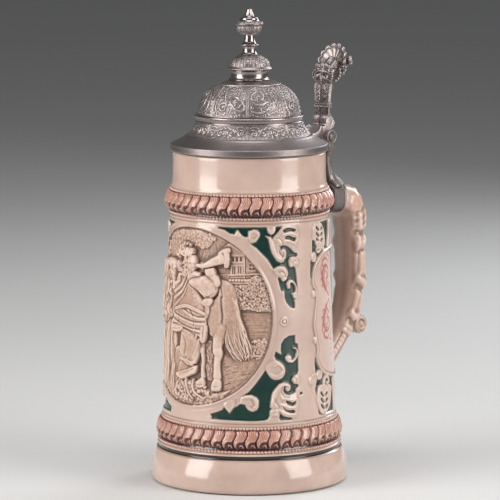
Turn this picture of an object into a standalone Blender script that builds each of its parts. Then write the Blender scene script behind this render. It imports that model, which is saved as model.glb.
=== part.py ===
"""One-litre relief stein: stoneware mug with a pewter lid on a side-strap hinge.

Frame: metres, +Z up, origin at the centre of the flat underside, handle
towards +X, front towards -X.  The lid turns about an axis parallel to Y at
(HINGE_X, HINGE_Z).  All sizes below are in millimetres; the mesh builders
convert them.  Helper solids named cut_* feed the boolean modifiers, both the
cuts and the unions.
"""

import math

import bmesh
import bpy

MM = 0.001
GAP = 0.3                # clearance between neighbouring pieces

# ---------------------------------------------------------------- mug sizes
FLOOR_Z = 14.0           # inside floor height
FLOOR_FILLET_R = 6.0
FOOT_R = 63.0
FOOT_TOP = 19.5
BAND_LOW = (24.0, 44.0)  # lower ornament band, bottom and top
FIELD_R_LOW = 55.3       # field radius above the lower band
FIELD_R_HIGH = 51.1      # field radius below the upper band
NECK_R = 48.8
RIM_Z = 211.0
RIM_INNER_R = 44.6
BORE_R = 47.6            # inside radius near the floor

# ---------------------------------------------------------------- lid sizes
# Each height pair is (bottom, top); the turned pieces stack with a GAP between.
FLANGE_R = 50.3
FLANGE_Z = (RIM_Z + GAP, 215.2)
BEAD_R = 40.2
SEAT_Z = 221.6           # ledge inside the bead, below the skirt
SKIRT_Z = (SEAT_Z + GAP, 229.2)
MOULDING_Z = (SKIRT_Z[1] + GAP, 234.0)
DOME_Z = (MOULDING_Z[1] + GAP, 256.1)
NECK_RING_Z = (DOME_Z[1] + GAP, 262.1)
BASE_Z = (NECK_RING_Z[1] + GAP, 272.3)
STEM_Z = (BASE_Z[1] + GAP, 284.4)
CUP_Z = (STEM_Z[1] + GAP, 292.5)
TIP_Z = (CUP_Z[1] + GAP, 301.1)

STUD_R = 1.9
STUD_BORE_R = STUD_R + GAP
STUD_Z = (249.5, 267.0)
STEM_SPIGOT_R = 1.2
STEM_SPIGOT_BORE_R = STEM_SPIGOT_R + GAP
STEM_SPIGOT_TOP = 287.2
BASE_SOCKET_Z = 269.5    # floor of the socket in the finial base
TIP_SPIGOT_R = 0.9
TIP_SPIGOT_BORE_R = TIP_SPIGOT_R + GAP
CUP_SOCKET_Z = 290.2     # floor of the socket in the finial cup
NUT_R = 4.4
NUT_Z = (250.6, 253.9)

# -------------------------------------------------------------- hinge sizes
HINGE_X = 65.5
HINGE_Z = 215.4
LUG_R = 4.5
PIN_R = 1.6
PIN_BORE_R = PIN_R + GAP
CAP_R = 2.5
CAP_RECESS_R = CAP_R + GAP
CAP_FLOOR = 8.8          # y of the recess floor, either side of the middle
HINGE_HALF_W = 10.0
OUTER_LUG_Y = 6.6        # inner face of the outer shank lugs
MIDDLE_LUG_Y = 1.7       # half width of the middle shank lug
SHANK_LUGS = ((-HINGE_HALF_W, -OUTER_LUG_Y), (-MIDDLE_LUG_Y, MIDDLE_LUG_Y),
              (OUTER_LUG_Y, HINGE_HALF_W))
TONGUE_HALF_W = OUTER_LUG_Y - GAP
TONGUE_LUG_Y = MIDDLE_LUG_Y + GAP
TONGUE_LUGS = ((-TONGUE_HALF_W, -TONGUE_LUG_Y), (TONGUE_LUG_Y, TONGUE_HALF_W))
PAST_END_Y = 20          # cutters along Y reach past the hinge to here
HEEL_TOP = 228.3
POST_Z = (HEEL_TOP + GAP, 249.4)

# ------------------------------------------------------------- handle sizes
COLLAR_X = (66.0, 78.0)
COLLAR_THICKNESS = 1.8
COLLAR_MIN_Z = 160       # keeps only the upper arm of the handle
STRAP_POWER = 2.8        # superellipse exponent of the strap section
HANDLE_STATIONS = (      # centre line: x, z, half width, half thickness
    (46, 174.3, 10.5, 8.6),
    (58, 175.0, 10.2, 8.2),
    (66, 175.2, 10.0, 8.0),
    (78, 174.6, 10.0, 7.9),
    (86, 171.6, 10.0, 7.9),
    (91.2, 165.0, 10.0, 6.7),
    (92.8, 155.0, 10.0, 5.2),
    (93.3, 140.0, 10.0, 5.1),
    (94.2, 122.0, 10.0, 5.5),
    (92.8, 107.0, 9.6, 4.9),
    (88.6, 94.0, 9.0, 5.6),
    (80.0, 82.0, 8.2, 6.3),
    (70.0, 70.0, 7.6, 6.3),
    (60.0, 59.0, 7.8, 6.6),
    (49.5, 48.5, 8.6, 7.4),
)
VOLUTE_X = 95.8
VOLUTE_Z = 89.2
VOLUTE_R = 6.4
VOLUTE_HALF_W = 8.0

# ----------------------------------------------------------- segment counts
BODY_STEPS = 44
LID_STEPS = 36
RING_STEPS = 24          # neck ring and finial base
FINIAL_STEPS = 20
STUD_STEPS = 16
LUG_STEPS = 24
PIN_STEPS = 20
HANDLE_STEPS = 18
COLLAR_STEPS = 24
SHELL_STEPS = 16

# ---------------------------------------------------------- shared outlines
# Outside of the mug from rim to underside: radius, z
MUG_OUTER = [
    (48.2, RIM_Z), (48.7, RIM_Z - 0.6), (NECK_R, 204.0), (49.1, 192.0),
    # upper ornament band
    (49.6, 189.4), (50.9, 187.6), (50.9, 185.6), (53.2, 182.8),
    (54.0, 179.5), (53.2, 176.0), (51.6, 172.2), (51.5, 169.8),
    (51.1, 167.0), (FIELD_R_HIGH, 164.6),
    # field
    (51.5, 140.0), (52.5, 110.0), (54.2, 75.0), (FIELD_R_LOW, 50.0),
    # lower ornament band
    (55.5, BAND_LOW[1] + 2.0), (56.3, 42.6), (57.0, 40.6),
    (59.0, 36.8), (59.5, 33.0), (58.9, 29.0), (58.5, 26.6),
    (59.2, 25.4), (58.5, BAND_LOW[0]), (58.4, 21.6),
    # foot
    (59.7, FOOT_TOP + 1.0), (59.5, FOOT_TOP), (60.7, 16.0), (62.0, 12.2),
    (62.8, 8.6), (FOOT_R, 4.6), (62.4, 2.2), (60.6, 0.5), (57.5, 0.0),
]

# Outside of the lid rim from the bead down to the flange: radius, z
LID_RIM_OUTER = [
    (BEAD_R - 1.6, SEAT_Z), (BEAD_R - 1.6, 222.4), (BEAD_R - 0.9, 223.0),
    (BEAD_R + 0.2, 222.9), (BEAD_R + 0.9, 222.0), (41.3, 221.1),
    (43.8, 218.8), (48.6, 216.3), (50.0, FLANGE_Z[1] + 0.5),
    (FLANGE_R, FLANGE_Z[1]), (FLANGE_R, FLANGE_Z[0] + 0.6),
    (FLANGE_R - 0.5, FLANGE_Z[0]),
]


# ---------------------------------------------------------------- materials
def material(name, rgb, roughness, metallic):
    mat = bpy.data.materials.new(name)
    mat.use_nodes = True
    bsdf = mat.node_tree.nodes["Principled BSDF"]
    bsdf.inputs["Base Color"].default_value = (*rgb, 1.0)
    bsdf.inputs["Roughness"].default_value = roughness
    bsdf.inputs["Metallic"].default_value = metallic
    mat.diffuse_color = (*rgb, 1.0)
    return mat


def cream_stoneware():
    return material("cream_stoneware", rgb=(0.66, 0.51, 0.40),
                    roughness=0.22, metallic=0.0)


def handle_stoneware():
    return material("handle_stoneware", rgb=(0.60, 0.46, 0.36),
                    roughness=0.30, metallic=0.0)


def pewter(piece, light=1.0):
    """Pewter for one piece; light scales its brightness."""
    return material("pewter_" + piece,
                    rgb=(0.30 * light, 0.28 * light, 0.27 * light),
                    roughness=0.38, metallic=1.0)


# ------------------------------------------------------------ mesh builders
SHARP_ANGLE = math.radians(38)


def finish(name, bm, mat):
    """Turns bm into an object; one without a material is a hidden helper."""
    bmesh.ops.recalc_face_normals(bm, faces=bm.faces)
    mesh = bpy.data.meshes.new(name)
    bm.to_mesh(mesh)
    bm.free()
    obj = bpy.data.objects.new(name, mesh)
    bpy.context.scene.collection.objects.link(obj)
    if mat is None:
        obj.hide_render = True
        obj.display_type = "WIRE"
    else:
        mesh.materials.append(mat)
        mesh.shade_smooth()
        mesh.set_sharp_from_angle(angle=SHARP_ANGLE)
    return obj


def turned(name, profile, steps, mat=None):
    """Closed solid of revolution about Z from (radius, z) points.

    A profile that starts and ends on the axis is left open there; any other
    is closed back to its first point.
    """
    bm = bmesh.new()
    rings = []
    for radius, z in profile:
        if radius < 1e-6:
            rings.append([bm.verts.new((0, 0, z * MM))])
        else:
            rings.append([
                bm.verts.new((radius * MM * math.cos(math.tau * k / steps),
                              radius * MM * math.sin(math.tau * k / steps),
                              z * MM))
                for k in range(steps)])
    pairs = list(zip(rings[:-1], rings[1:]))
    if len(rings[0]) > 1 or len(rings[-1]) > 1:
        pairs.append((rings[-1], rings[0]))
    for upper, lower in pairs:
        for k in range(steps):
            n = (k + 1) % steps
            if len(upper) == 1:
                bm.faces.new((upper[0], lower[k], lower[n]))
            elif len(lower) == 1:
                bm.faces.new((upper[k], lower[0], upper[n]))
            else:
                bm.faces.new((upper[k], lower[k], lower[n], upper[n]))
    return finish(name, bm, mat)


def lofted(name, sections, mat=None):
    """Closed skin through equal-length rings of points, capped flat."""
    bm = bmesh.new()
    rings = [[bm.verts.new((x * MM, y * MM, z * MM)) for x, y, z in ring]
             for ring in sections]
    count = len(rings[0])
    for ring, following in zip(rings[:-1], rings[1:]):
        for k in range(count):
            n = (k + 1) % count
            bm.faces.new((ring[k], ring[n], following[n], following[k]))
    bm.faces.new(list(reversed(rings[0])))
    bm.faces.new(rings[-1])
    return finish(name, bm, mat)


def rod(name, x, z, stations, steps, mat=None):
    """Round solid about an axis parallel to Y; stations are (y, radius)."""
    return lofted(name, [
        [(x + radius * math.cos(math.tau * k / steps), y,
          z + radius * math.sin(math.tau * k / steps)) for k in range(steps)]
        for y, radius in stations], mat)


def hinge_rod(name, radius, y0, y1, steps, mat=None):
    return rod(name, HINGE_X, HINGE_Z, ((y0, radius), (y1, radius)), steps, mat)


def block(name, x0, x1, y0, y1, z0, z1):
    return lofted(name, [[(x0, y0, z), (x1, y0, z), (x1, y1, z), (x0, y1, z)]
                         for z in (z0, z1)])


def boolean(obj, other, operation):
    mod = obj.modifiers.new(operation.lower() + "_" + other.name, "BOOLEAN")
    mod.operation = operation
    mod.solver = "EXACT"
    mod.object = other


def join(obj, other):
    boolean(obj, other, "UNION")


def cut(obj, other):
    boolean(obj, other, "DIFFERENCE")


# -------------------------------------------------------- outlines and rings
def arc(centre_r, centre_z, radius, start, end, count):
    """Points (r, z) on a circle, from angle start to end in degrees."""
    angles = [math.radians(start + (end - start) * i / count)
              for i in range(count + 1)]
    return [(centre_r + radius * math.cos(angle),
             centre_z + radius * math.sin(angle)) for angle in angles]


def offset_outline(profile, distance):
    """Moves an open profile that runs downwards outwards by distance."""
    moved = []
    for i, (r, z) in enumerate(profile):
        r0, z0 = profile[max(i - 1, 0)]
        r1, z1 = profile[min(i + 1, len(profile) - 1)]
        step_r, step_z = r1 - r0, z1 - z0
        length = math.hypot(step_r, step_z)
        moved.append((r - step_z / length * distance,
                      z + step_r / length * distance))
    return moved


def catmull_rom(points, per_span):
    """Smooth curve through the rows of points."""
    curve = []
    last = len(points) - 1
    for i in range(last):
        rows = (points[max(i - 1, 0)], points[i],
                points[i + 1], points[min(i + 2, last)])
        for s in range(per_span):
            t = s / per_span
            curve.append([
                0.5 * (2 * start + (end - before) * t
                       + (2 * before - 5 * start + 4 * end - after) * t * t
                       + (3 * start - before - 3 * end + after) * t ** 3)
                for before, start, end, after in zip(*rows)])
    curve.append(list(points[-1]))
    return curve


def signed_power(value, exponent):
    return math.copysign(abs(value) ** exponent, value)


def strap_sections(path, grow, count):
    """Superellipse rings along a path in XZ; grow is added all round."""
    rings = []
    for i, (x, z, half_width, half_thickness) in enumerate(path):
        x0, z0 = path[max(i - 1, 0)][:2]
        x1, z1 = path[min(i + 1, len(path) - 1)][:2]
        step_x, step_z = x1 - x0, z1 - z0
        length = math.hypot(step_x, step_z)
        normal_x, normal_z = -step_z / length, step_x / length
        ring = []
        for k in range(count):
            angle = math.tau * (k + 0.5) / count
            across = signed_power(math.cos(angle), 2 / STRAP_POWER) * (half_width + grow)
            out = signed_power(math.sin(angle), 2 / STRAP_POWER) * (half_thickness + grow)
            ring.append((x + normal_x * out, across, z + normal_z * out))
        rings.append(ring)
    return rings


def chamfered_sections(stations, chamfer):
    """Oblong rings with cut corners; stations: z, x inner, x outer, half width."""
    return [[(x0, -half + chamfer, z), (x0 + chamfer, -half, z),
             (x1 - chamfer, -half, z), (x1, -half + chamfer, z),
             (x1, half - chamfer, z), (x1 - chamfer, half, z),
             (x0 + chamfer, half, z), (x0, half - chamfer, z)]
            for z, x0, x1, half in stations]


# ----------------------------------------------------------- mug and handle
def build_mug():
    inner = [(0.0, FLOOR_Z), (38.0, FLOOR_Z)]
    inner += arc(BORE_R - FLOOR_FILLET_R, FLOOR_Z + FLOOR_FILLET_R,
                 FLOOR_FILLET_R, start=-90, end=0, count=4)[1:]
    inner += [(BORE_R - 0.6, 80.0), (BORE_R - 2.2, 160.0),
              (RIM_INNER_R, 196.0), (RIM_INNER_R, RIM_Z - 0.5),
              (RIM_INNER_R + 0.5, RIM_Z)]
    turned("mug_body", inner + MUG_OUTER + [(0.0, 0.0)], BODY_STEPS,
           cream_stoneware())


def build_handle(curve):
    """Strap handle with a volute on its outer side, cut clear of the mug."""
    handle = lofted("handle", strap_sections(curve, 0.0, HANDLE_STEPS),
                    handle_stoneware())
    join(handle, rod("cut_volute", VOLUTE_X, VOLUTE_Z,
                     ((-VOLUTE_HALF_W, VOLUTE_R), (VOLUTE_HALF_W, VOLUTE_R)), 24))
    above_rim = RIM_Z + 5
    cut(handle, turned("cut_body",
                       [(0.0, above_rim), (NECK_R + 0.3 + GAP, above_rim)]
                       + offset_outline(MUG_OUTER, GAP)[2:-2] + [(0.0, 4.0)],
                       BODY_STEPS))


def build_collar(curve):
    """Pewter sleeve round the upper arm of the handle."""
    arm = [row for row in catmull_rom(HANDLE_STATIONS, 4)
           if COLLAR_X[0] - 0.1 <= row[0] <= COLLAR_X[1] + 0.1
           and row[1] > COLLAR_MIN_Z]
    collar = lofted("handle_collar",
                    strap_sections(arm, GAP + COLLAR_THICKNESS, COLLAR_STEPS),
                    pewter("collar", 0.7))
    cut(collar, lofted("cut_arm", strap_sections(curve[1:11], GAP, HANDLE_STEPS)))


# -------------------------------------------------------------------- hinge
SHANK_STATIONS = (        # z, x inner, x outer, half width
    (185.9, 67.0, 80.0, 7.4),
    (187.2, 66.6, 77.0, 7.6),
    (189.5, 66.2, 73.6, 7.2),
    (193.0, 65.6, 71.0, 6.8),
    (198.0, 65.0, 69.8, 6.5),
    (202.5, 64.8, 69.3, 6.8),
    (205.0, 64.5, 69.9, 7.8),
    (207.0, 64.0, 71.0, 9.0),
    (208.0, 63.5, 70.5, 9.6),
    (210.4, 62.7, 68.3, HINGE_HALF_W),
)
TAB_STATIONS = (          # x, z, half width, thickness
    (70.0, 187.6, 6.0, 1.8),
    (75.0, 186.6, 6.4, 1.8),
    (80.0, 185.0, 5.6, 1.6),
    (84.0, 183.5, 4.0, 1.3),
    (86.0, 182.6, 1.6, 0.9),
)


def leaf_tab():
    """Tab over the shoulder of the handle, ridged along its middle."""
    rings = []
    for x, z, half, thickness in TAB_STATIONS:
        low, high = z - thickness / 2, z + thickness / 2
        rings.append([(x, -half, low), (x, 0, low + 0.5), (x, half, low),
                      (x, half * 0.7, high), (x, 0, high + 0.6),
                      (x, -half * 0.7, high)])
    return lofted("cut_tab", rings)


def build_shank(curve, bore):
    """Upright shank on the collar, with three lugs round the hinge pin."""
    shank = lofted("hinge_shank", chamfered_sections(SHANK_STATIONS, chamfer=0.9),
                   pewter("shank", 0.8))
    # The collar is cleared first, so that the tab added later stays whole there.
    cut(shank, lofted("cut_collar",
                      strap_sections(curve[1:13], 2 * GAP + COLLAR_THICKNESS,
                                     COLLAR_STEPS)))
    web_half = 2.6
    web_inset = 0.01      # keeps web and lug faces from coinciding
    for i, (y0, y1) in enumerate(SHANK_LUGS):
        join(shank, hinge_rod("cut_shank_lug_%d" % i, LUG_R, y0, y1, LUG_STEPS))
        join(shank, block("cut_shank_web_%d" % i,
                          HINGE_X - web_half, HINGE_X + web_half,
                          y0 + web_inset, y1 - web_inset, 209.0, HINGE_Z - 2.5))
    cut(shank, bore)
    for i, sign in enumerate((-1, 1)):
        y0, y1 = sorted((sign * CAP_FLOOR, sign * PAST_END_Y))
        cut(shank, hinge_rod("cut_recess_%d" % i, CAP_RECESS_R, y0, y1, PIN_STEPS))
    join(shank, leaf_tab())
    cut(shank, lofted("cut_handle_clear",
                      strap_sections(curve[1:14], GAP, HANDLE_STEPS)))


def build_pin():
    half_length = CAP_FLOOR - 0.2
    hinge_rod("hinge_pin", PIN_R, -half_length, half_length, PIN_STEPS,
              pewter("pin"))


def build_pin_cap(name, sign):
    """Domed cap in the recess on the side of the given sign of Y."""
    stations = ((CAP_FLOOR + GAP, CAP_R), (10.2, CAP_R),
                (10.7, CAP_R - 0.5), (10.95, CAP_R - 1.3))
    rod(name, HINGE_X, HINGE_Z, [(sign * y, radius) for y, radius in stations],
        PIN_STEPS, pewter(name))


# ---------------------------------------------------------------------- lid
# Profiles list radius, z.
def build_lid_rim():
    inner = [(44.05, FLANGE_Z[0]), (43.9, 209.7), (43.0, 209.3), (42.5, 209.8),
             (42.3, 213.0), (40.0, 217.4), (36.6, 220.0), (35.6, 220.5),
             (35.6, SEAT_Z)]
    turned("lid_rim", LID_RIM_OUTER + inner, LID_STEPS, pewter("rim"))


def build_lid_skirt():
    outer = [(34.1, SKIRT_Z[1]), (34.35, 227.4), (35.0, 225.7),
             (36.2, 224.0), (37.9, 222.7), (38.2, SKIRT_Z[0])]
    inner = [(36.4, SKIRT_Z[0]), (34.8, 223.4), (33.1, 225.4),
             (32.3, SKIRT_Z[1])]
    turned("lid_skirt", outer + inner, LID_STEPS, pewter("skirt", 0.8))


def build_lid_moulding():
    turned("lid_moulding",
           [(33.2, MOULDING_Z[1]), (34.2, 233.3), (34.65, 232.2), (34.6, 231.2),
            (34.1, 230.2), (33.9, MOULDING_Z[0]), (31.8, MOULDING_Z[0]),
            (31.4, MOULDING_Z[1])], LID_STEPS, pewter("moulding"))


def build_lid_dome():
    outer = [(12.9, DOME_Z[1]), (13.4, 256.0), (18.3, 254.2), (19.8, 253.6),
             (22.0, 252.4), (23.9, 251.0), (25.6, 249.6), (27.2, 248.1),
             (28.7, 246.5), (30.0, 244.6), (30.9, 242.6), (31.7, 240.2),
             (32.3, 237.6), (33.2, DOME_Z[0])]
    inner = [(31.2, DOME_Z[0]), (30.2, 238.0), (28.9, 242.6), (27.0, 245.4),
             (24.0, 248.4), (20.0, 251.2), (16.4, 252.4), (12.0, 254.2),
             (STUD_BORE_R, 254.2), (STUD_BORE_R, DOME_Z[1])]
    turned("lid_dome", outer + inner, LID_STEPS, pewter("dome", 0.8))


def build_lid_neck():
    turned("lid_neck",
           [(12.2, NECK_RING_Z[1]), (12.5, 261.8), (11.7, 260.9), (11.6, 258.2),
            (12.0, 257.3), (12.8, 256.7), (12.6, NECK_RING_Z[0]),
            (STUD_BORE_R, NECK_RING_Z[0]), (STUD_BORE_R, NECK_RING_Z[1])],
           RING_STEPS, pewter("neck", 1.4))


# ------------------------------------------------------------------- finial
def build_finial_base():
    stud_socket_z = STUD_Z[1] + GAP
    turned("finial_base",
           [(0.0, BASE_SOCKET_Z), (STEM_SPIGOT_BORE_R, BASE_SOCKET_Z),
            (STEM_SPIGOT_BORE_R, BASE_Z[1]), (3.9, BASE_Z[1]),
            (6.8, 271.3), (9.7, 269.7), (11.3, 268.3), (12.0, 266.9),
            (12.6, 265.6), (13.5, 264.6), (13.8, 263.5), (13.6, 262.8),
            (13.0, BASE_Z[0]), (STUD_BORE_R, BASE_Z[0]),
            (STUD_BORE_R, stud_socket_z), (0.0, stud_socket_z)],
           RING_STEPS, pewter("base", 1.2))


def build_finial_stem():
    """Stem with a spigot at each end."""
    spigot_bottom = BASE_SOCKET_Z + GAP
    turned("finial_stem",
           [(0.0, STEM_SPIGOT_TOP), (STEM_SPIGOT_R, STEM_SPIGOT_TOP),
            (STEM_SPIGOT_R, STEM_Z[1]), (2.3, STEM_Z[1]),
            (2.5, 281.2), (4.5, 279.2), (5.15, 278.4), (4.9, 277.6),
            (3.2, 276.8), (3.1, 275.4), (3.4, 273.9), (3.9, STEM_Z[0]),
            (STEM_SPIGOT_R, STEM_Z[0]), (STEM_SPIGOT_R, spigot_bottom),
            (0.0, spigot_bottom)], FINIAL_STEPS, pewter("stem", 1.2))


def build_finial_cup():
    stem_socket_z = STEM_SPIGOT_TOP + GAP
    turned("finial_cup",
           [(0.0, CUP_SOCKET_Z), (TIP_SPIGOT_BORE_R, CUP_SOCKET_Z),
            (TIP_SPIGOT_BORE_R, CUP_Z[1]), (7.3, CUP_Z[1]),
            (8.4, 291.7), (8.6, 291.0), (8.0, 290.3), (8.05, 289.0),
            (7.5, 286.8), (6.4, 285.6), (5.0, CUP_Z[0]),
            (STEM_SPIGOT_BORE_R, CUP_Z[0]), (STEM_SPIGOT_BORE_R, stem_socket_z),
            (0.0, stem_socket_z)], FINIAL_STEPS, pewter("cup"))


def build_finial_tip():
    spigot_bottom = CUP_SOCKET_Z + GAP
    turned("finial_tip",
           [(0.0, TIP_Z[1]), (0.8, 300.8), (1.3, 300.1), (1.45, 299.3),
            (2.0, 298.0), (2.4, 296.4), (3.1, 295.3), (5.1, 294.3),
            (6.5, 293.5), (6.7, TIP_Z[0]), (TIP_SPIGOT_R, TIP_Z[0]),
            (TIP_SPIGOT_R, spigot_bottom), (0.0, spigot_bottom)],
           FINIAL_STEPS, pewter("tip"))


def build_finial_stud():
    turned("finial_stud",
           [(0.0, STUD_Z[1]), (STUD_R, STUD_Z[1]), (STUD_R, STUD_Z[0]),
            (0.0, STUD_Z[0])], STUD_STEPS, pewter("stud"))


def build_finial_nut():
    """Hexagonal nut round the stud, inside the dome."""
    nut = lofted("finial_nut",
                 [[(NUT_R * math.cos(math.tau * k / 6),
                    NUT_R * math.sin(math.tau * k / 6), z) for k in range(6)]
                  for z in NUT_Z], pewter("nut"))
    cut(nut, turned("cut_nut", [(0, 260), (STUD_BORE_R, 260),
                                (STUD_BORE_R, 245), (0, 245)], STUD_STEPS))


# ---------------------------------------------------- tongue and thumblift
TONGUE_STATIONS = (       # x, half width, bottom z, top z
    (46.0, 8.4, 212.4, 218.9),
    (48.6, 9.2, 212.4, 218.2),
    (51.0, 9.4, 212.4, 218.0),
    (54.0, 9.0, 212.4, 218.6),
    (56.6, 8.2, 212.4, 219.7),
    (58.8, 7.2, 212.4, 221.0),
    (60.4, TONGUE_HALF_W, 212.6, 222.2),
    (64.5, TONGUE_HALF_W, 212.8, 222.4),
)
HEEL_OUTLINE = (          # x, z
    (62.0, 217.5), (66.5, 219.0), (70.2, 220.5), (71.6, 221.6),
    (72.5, 223.9), (71.4, 225.8), (69.4, HEEL_TOP), (65.2, HEEL_TOP),
    (64.6, 226.8), (64.5, 223.4), (63.4, 222.3), (62.0, 222.1),
)
POST_STATIONS = (         # z, x front, x back, half width
    (POST_Z[0], 65.2, 69.3, 6.5),
    (229.6, 65.2, 69.2, 6.5),
    (229.9, 66.0, 68.7, 5.9),
    (233.7, 66.0, 68.7, 5.9),
    (234.0, 65.3, 69.3, 6.8),
    (236.7, 65.3, 69.3, 6.8),
    (237.1, 66.0, 69.5, 6.3),
    (243.0, 66.2, 69.7, 6.6),
    (POST_Z[1], 66.6, 70.3, 7.2),
)
SHELL_STATIONS = (        # z, x centre, half thickness, half width
    (POST_Z[1] + GAP, 68.6, 1.9, 6.4),
    (251.5, 68.8, 2.8, 8.6),
    (254.5, 69.2, 3.4, 9.8),
    (258.5, 69.8, 3.4, 10.2),
    (261.5, 71.2, 3.2, 10.6),
    (264.0, 74.0, 2.9, 13.0),
    (266.8, 77.2, 2.4, 14.6),
    (269.8, 79.8, 2.0, 13.6),
    (272.4, 81.8, 1.6, 10.8),
    (274.4, 83.2, 0.9, 5.6),
)


def tongue_sections():
    """Rings narrower below, with the top dished up to DISH_END_X."""
    dish_end_x, dish_depth = 59, 0.9
    rings = []
    for x, half, bottom, top in TONGUE_STATIONS:
        middle_z = top - (dish_depth if x < dish_end_x else 0.0)
        rings.append([(x, -half * 0.72, bottom), (x, half * 0.72, bottom),
                      (x, half, top - 1.2), (x, half - 0.5, top),
                      (x, half * 0.45, middle_z), (x, -half * 0.45, middle_z),
                      (x, -half + 0.5, top), (x, -half, top - 1.2)])
    return rings


def build_tongue(bore):
    """Lid tongue with a raised heel and two lugs between those of the shank."""
    tongue = lofted("lid_tongue", tongue_sections(), pewter("tongue", 0.9))
    join(tongue, lofted("cut_heel", [[(x, y, z) for x, z in HEEL_OUTLINE]
                                     for y in (-TONGUE_HALF_W, TONGUE_HALF_W)]))
    # Slots round the shank lugs; the outer two run out past the sides.
    run_out = 8
    for i, (y0, y1) in enumerate(SHANK_LUGS):
        slot_y0 = y0 - (GAP if i > 0 else run_out)
        slot_y1 = y1 + (GAP if i < 2 else run_out)
        cut(tongue, hinge_rod("cut_slot_%d" % i, LUG_R + GAP + 0.1,
                              slot_y0, slot_y1, LUG_STEPS))
        cut(tongue, block("cut_slot_low_%d" % i, HINGE_X - 3.4, HINGE_X + 8,
                          slot_y0, slot_y1, 205, HINGE_Z))
    for i, (y0, y1) in enumerate(TONGUE_LUGS):
        join(tongue, hinge_rod("cut_tongue_lug_%d" % i, LUG_R, y0, y1, LUG_STEPS))
    cut(tongue, bore)
    cut(tongue, turned("cut_rim",
                       [(0.0, 240.0), (30.0, 240.0)]
                       + offset_outline(LID_RIM_OUTER, GAP)[2:-1]
                       + [(FLANGE_R + GAP, 205.0), (0.0, 205.0)], LID_STEPS))


def build_thumblift_post():
    lofted("thumblift_post", chamfered_sections(POST_STATIONS, chamfer=0.7),
           pewter("post", 0.9))


def build_thumblift_shell():
    """Shell leaning back, its wings curling towards the front of the lid."""
    section_exponent = 0.75
    curl_depth = 2.2              # at the widest point
    widest = 14.6
    curl_start_z, curl_rise = 259, 6
    last = len(SHELL_STATIONS) - 1
    rings = []
    for i, (z, x, half_thickness, half_width) in enumerate(SHELL_STATIONS):
        z0, x0 = SHELL_STATIONS[max(i - 1, 0)][:2]
        z1, x1 = SHELL_STATIONS[min(i + 1, last)][:2]
        length = math.hypot(x1 - x0, z1 - z0)
        normal_x, normal_z = (z1 - z0) / length, -(x1 - x0) / length
        if i == 0:
            # the underside lies flat above the post
            normal_x, normal_z = 1.0, 0.0
        curl_share = max(0.0, min(1.0, (z - curl_start_z) / curl_rise))
        ring = []
        for k in range(SHELL_STEPS):
            angle = math.tau * k / SHELL_STEPS
            out = signed_power(math.cos(angle), section_exponent) * half_thickness
            across = signed_power(math.sin(angle), section_exponent) * half_width
            curl = -curl_depth * (abs(across) / widest) ** 2 * curl_share
            ring.append((x + normal_x * out + curl, across, z + normal_z * out))
        rings.append(ring)
    lofted("thumblift_shell", rings, pewter("shell", 0.9))


# -------------------------------------------------------------------- build
for old in list(bpy.data.objects):
    bpy.data.objects.remove(old, do_unlink=True)

handle_curve = catmull_rom(HANDLE_STATIONS, 2)
pin_bore = hinge_rod("cut_bore", PIN_BORE_R, -PAST_END_Y, PAST_END_Y, PIN_STEPS)

build_mug()
build_handle(handle_curve)
build_collar(handle_curve)
build_shank(handle_curve, pin_bore)
build_pin()
build_pin_cap("pin_cap_left", 1)
build_pin_cap("pin_cap_right", -1)
build_lid_rim()
build_lid_skirt()
build_lid_moulding()
build_lid_dome()
build_lid_neck()
build_finial_base()
build_finial_stem()
build_finial_cup()
build_finial_tip()
build_finial_stud()
build_finial_nut()
build_tongue(pin_bore)
build_thumblift_post()
build_thumblift_shell()
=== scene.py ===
"""Relief beer stein with a pewter lid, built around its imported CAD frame.

The frame is in metres: +Z up, handle towards +X, picture towards -X.  Lengths
below are in millimetres and scaled by MM when a mesh is made.  Relief is a
height field on an unrolled sheet: u runs round the body from the middle of
the picture (to the right, seen from outside) and z runs up.  Outlines and
lines are written as text, "u,z u,z ..."; turned profiles as "radius,z ...".
"""
import math

import bmesh
import bpy
import numpy as np
from mathutils import Matrix, Vector


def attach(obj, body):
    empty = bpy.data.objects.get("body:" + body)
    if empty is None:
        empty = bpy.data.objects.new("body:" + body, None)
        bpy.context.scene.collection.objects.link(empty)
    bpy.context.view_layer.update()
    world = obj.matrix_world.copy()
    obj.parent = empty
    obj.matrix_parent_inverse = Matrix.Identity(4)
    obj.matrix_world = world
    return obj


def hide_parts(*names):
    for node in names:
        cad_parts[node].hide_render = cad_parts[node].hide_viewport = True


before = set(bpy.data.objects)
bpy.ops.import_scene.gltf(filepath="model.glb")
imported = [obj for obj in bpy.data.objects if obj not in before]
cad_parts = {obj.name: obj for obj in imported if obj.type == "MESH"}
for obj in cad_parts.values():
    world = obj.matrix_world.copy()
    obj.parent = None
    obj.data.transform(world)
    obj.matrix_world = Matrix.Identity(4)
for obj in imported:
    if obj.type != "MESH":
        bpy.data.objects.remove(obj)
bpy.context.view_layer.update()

MM = 0.001                     # metres in a millimetre
SHEET_R = 52.7                 # radius of the unrolled sheet
PICTURE_Z = 110.0              # height of the middle of the round picture
PICTURE_R = 56.4               # radius of its edge
HINGE_X, HINGE_Z = 65.5, 215.4       # axis of the hinge pin


# ------------------------------------------------------------ numeric helpers
def smooth01(x):
    x = np.clip(x, 0.0, 1.0)
    return x * x * (3 - 2 * x)


def bell(x, centre, width):
    return np.exp(-((x - centre) / width) ** 2)


def signed_power(x, power):
    return np.sign(x) * np.abs(x) ** power


def lattice(ix, iy, seed):
    """Repeatable random value in 0..1 for each whole-number cell."""
    n = (ix.astype(np.int64) * 374761393 + iy.astype(np.int64) * 668265263
         + seed * 1442695041) & 0x7FFFFFFF
    n = (n ^ (n >> 13)) * 1274126177 & 0x7FFFFFFF
    n = n ^ (n >> 16)
    return (n & 0xFFFF) / 65535.0


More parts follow.
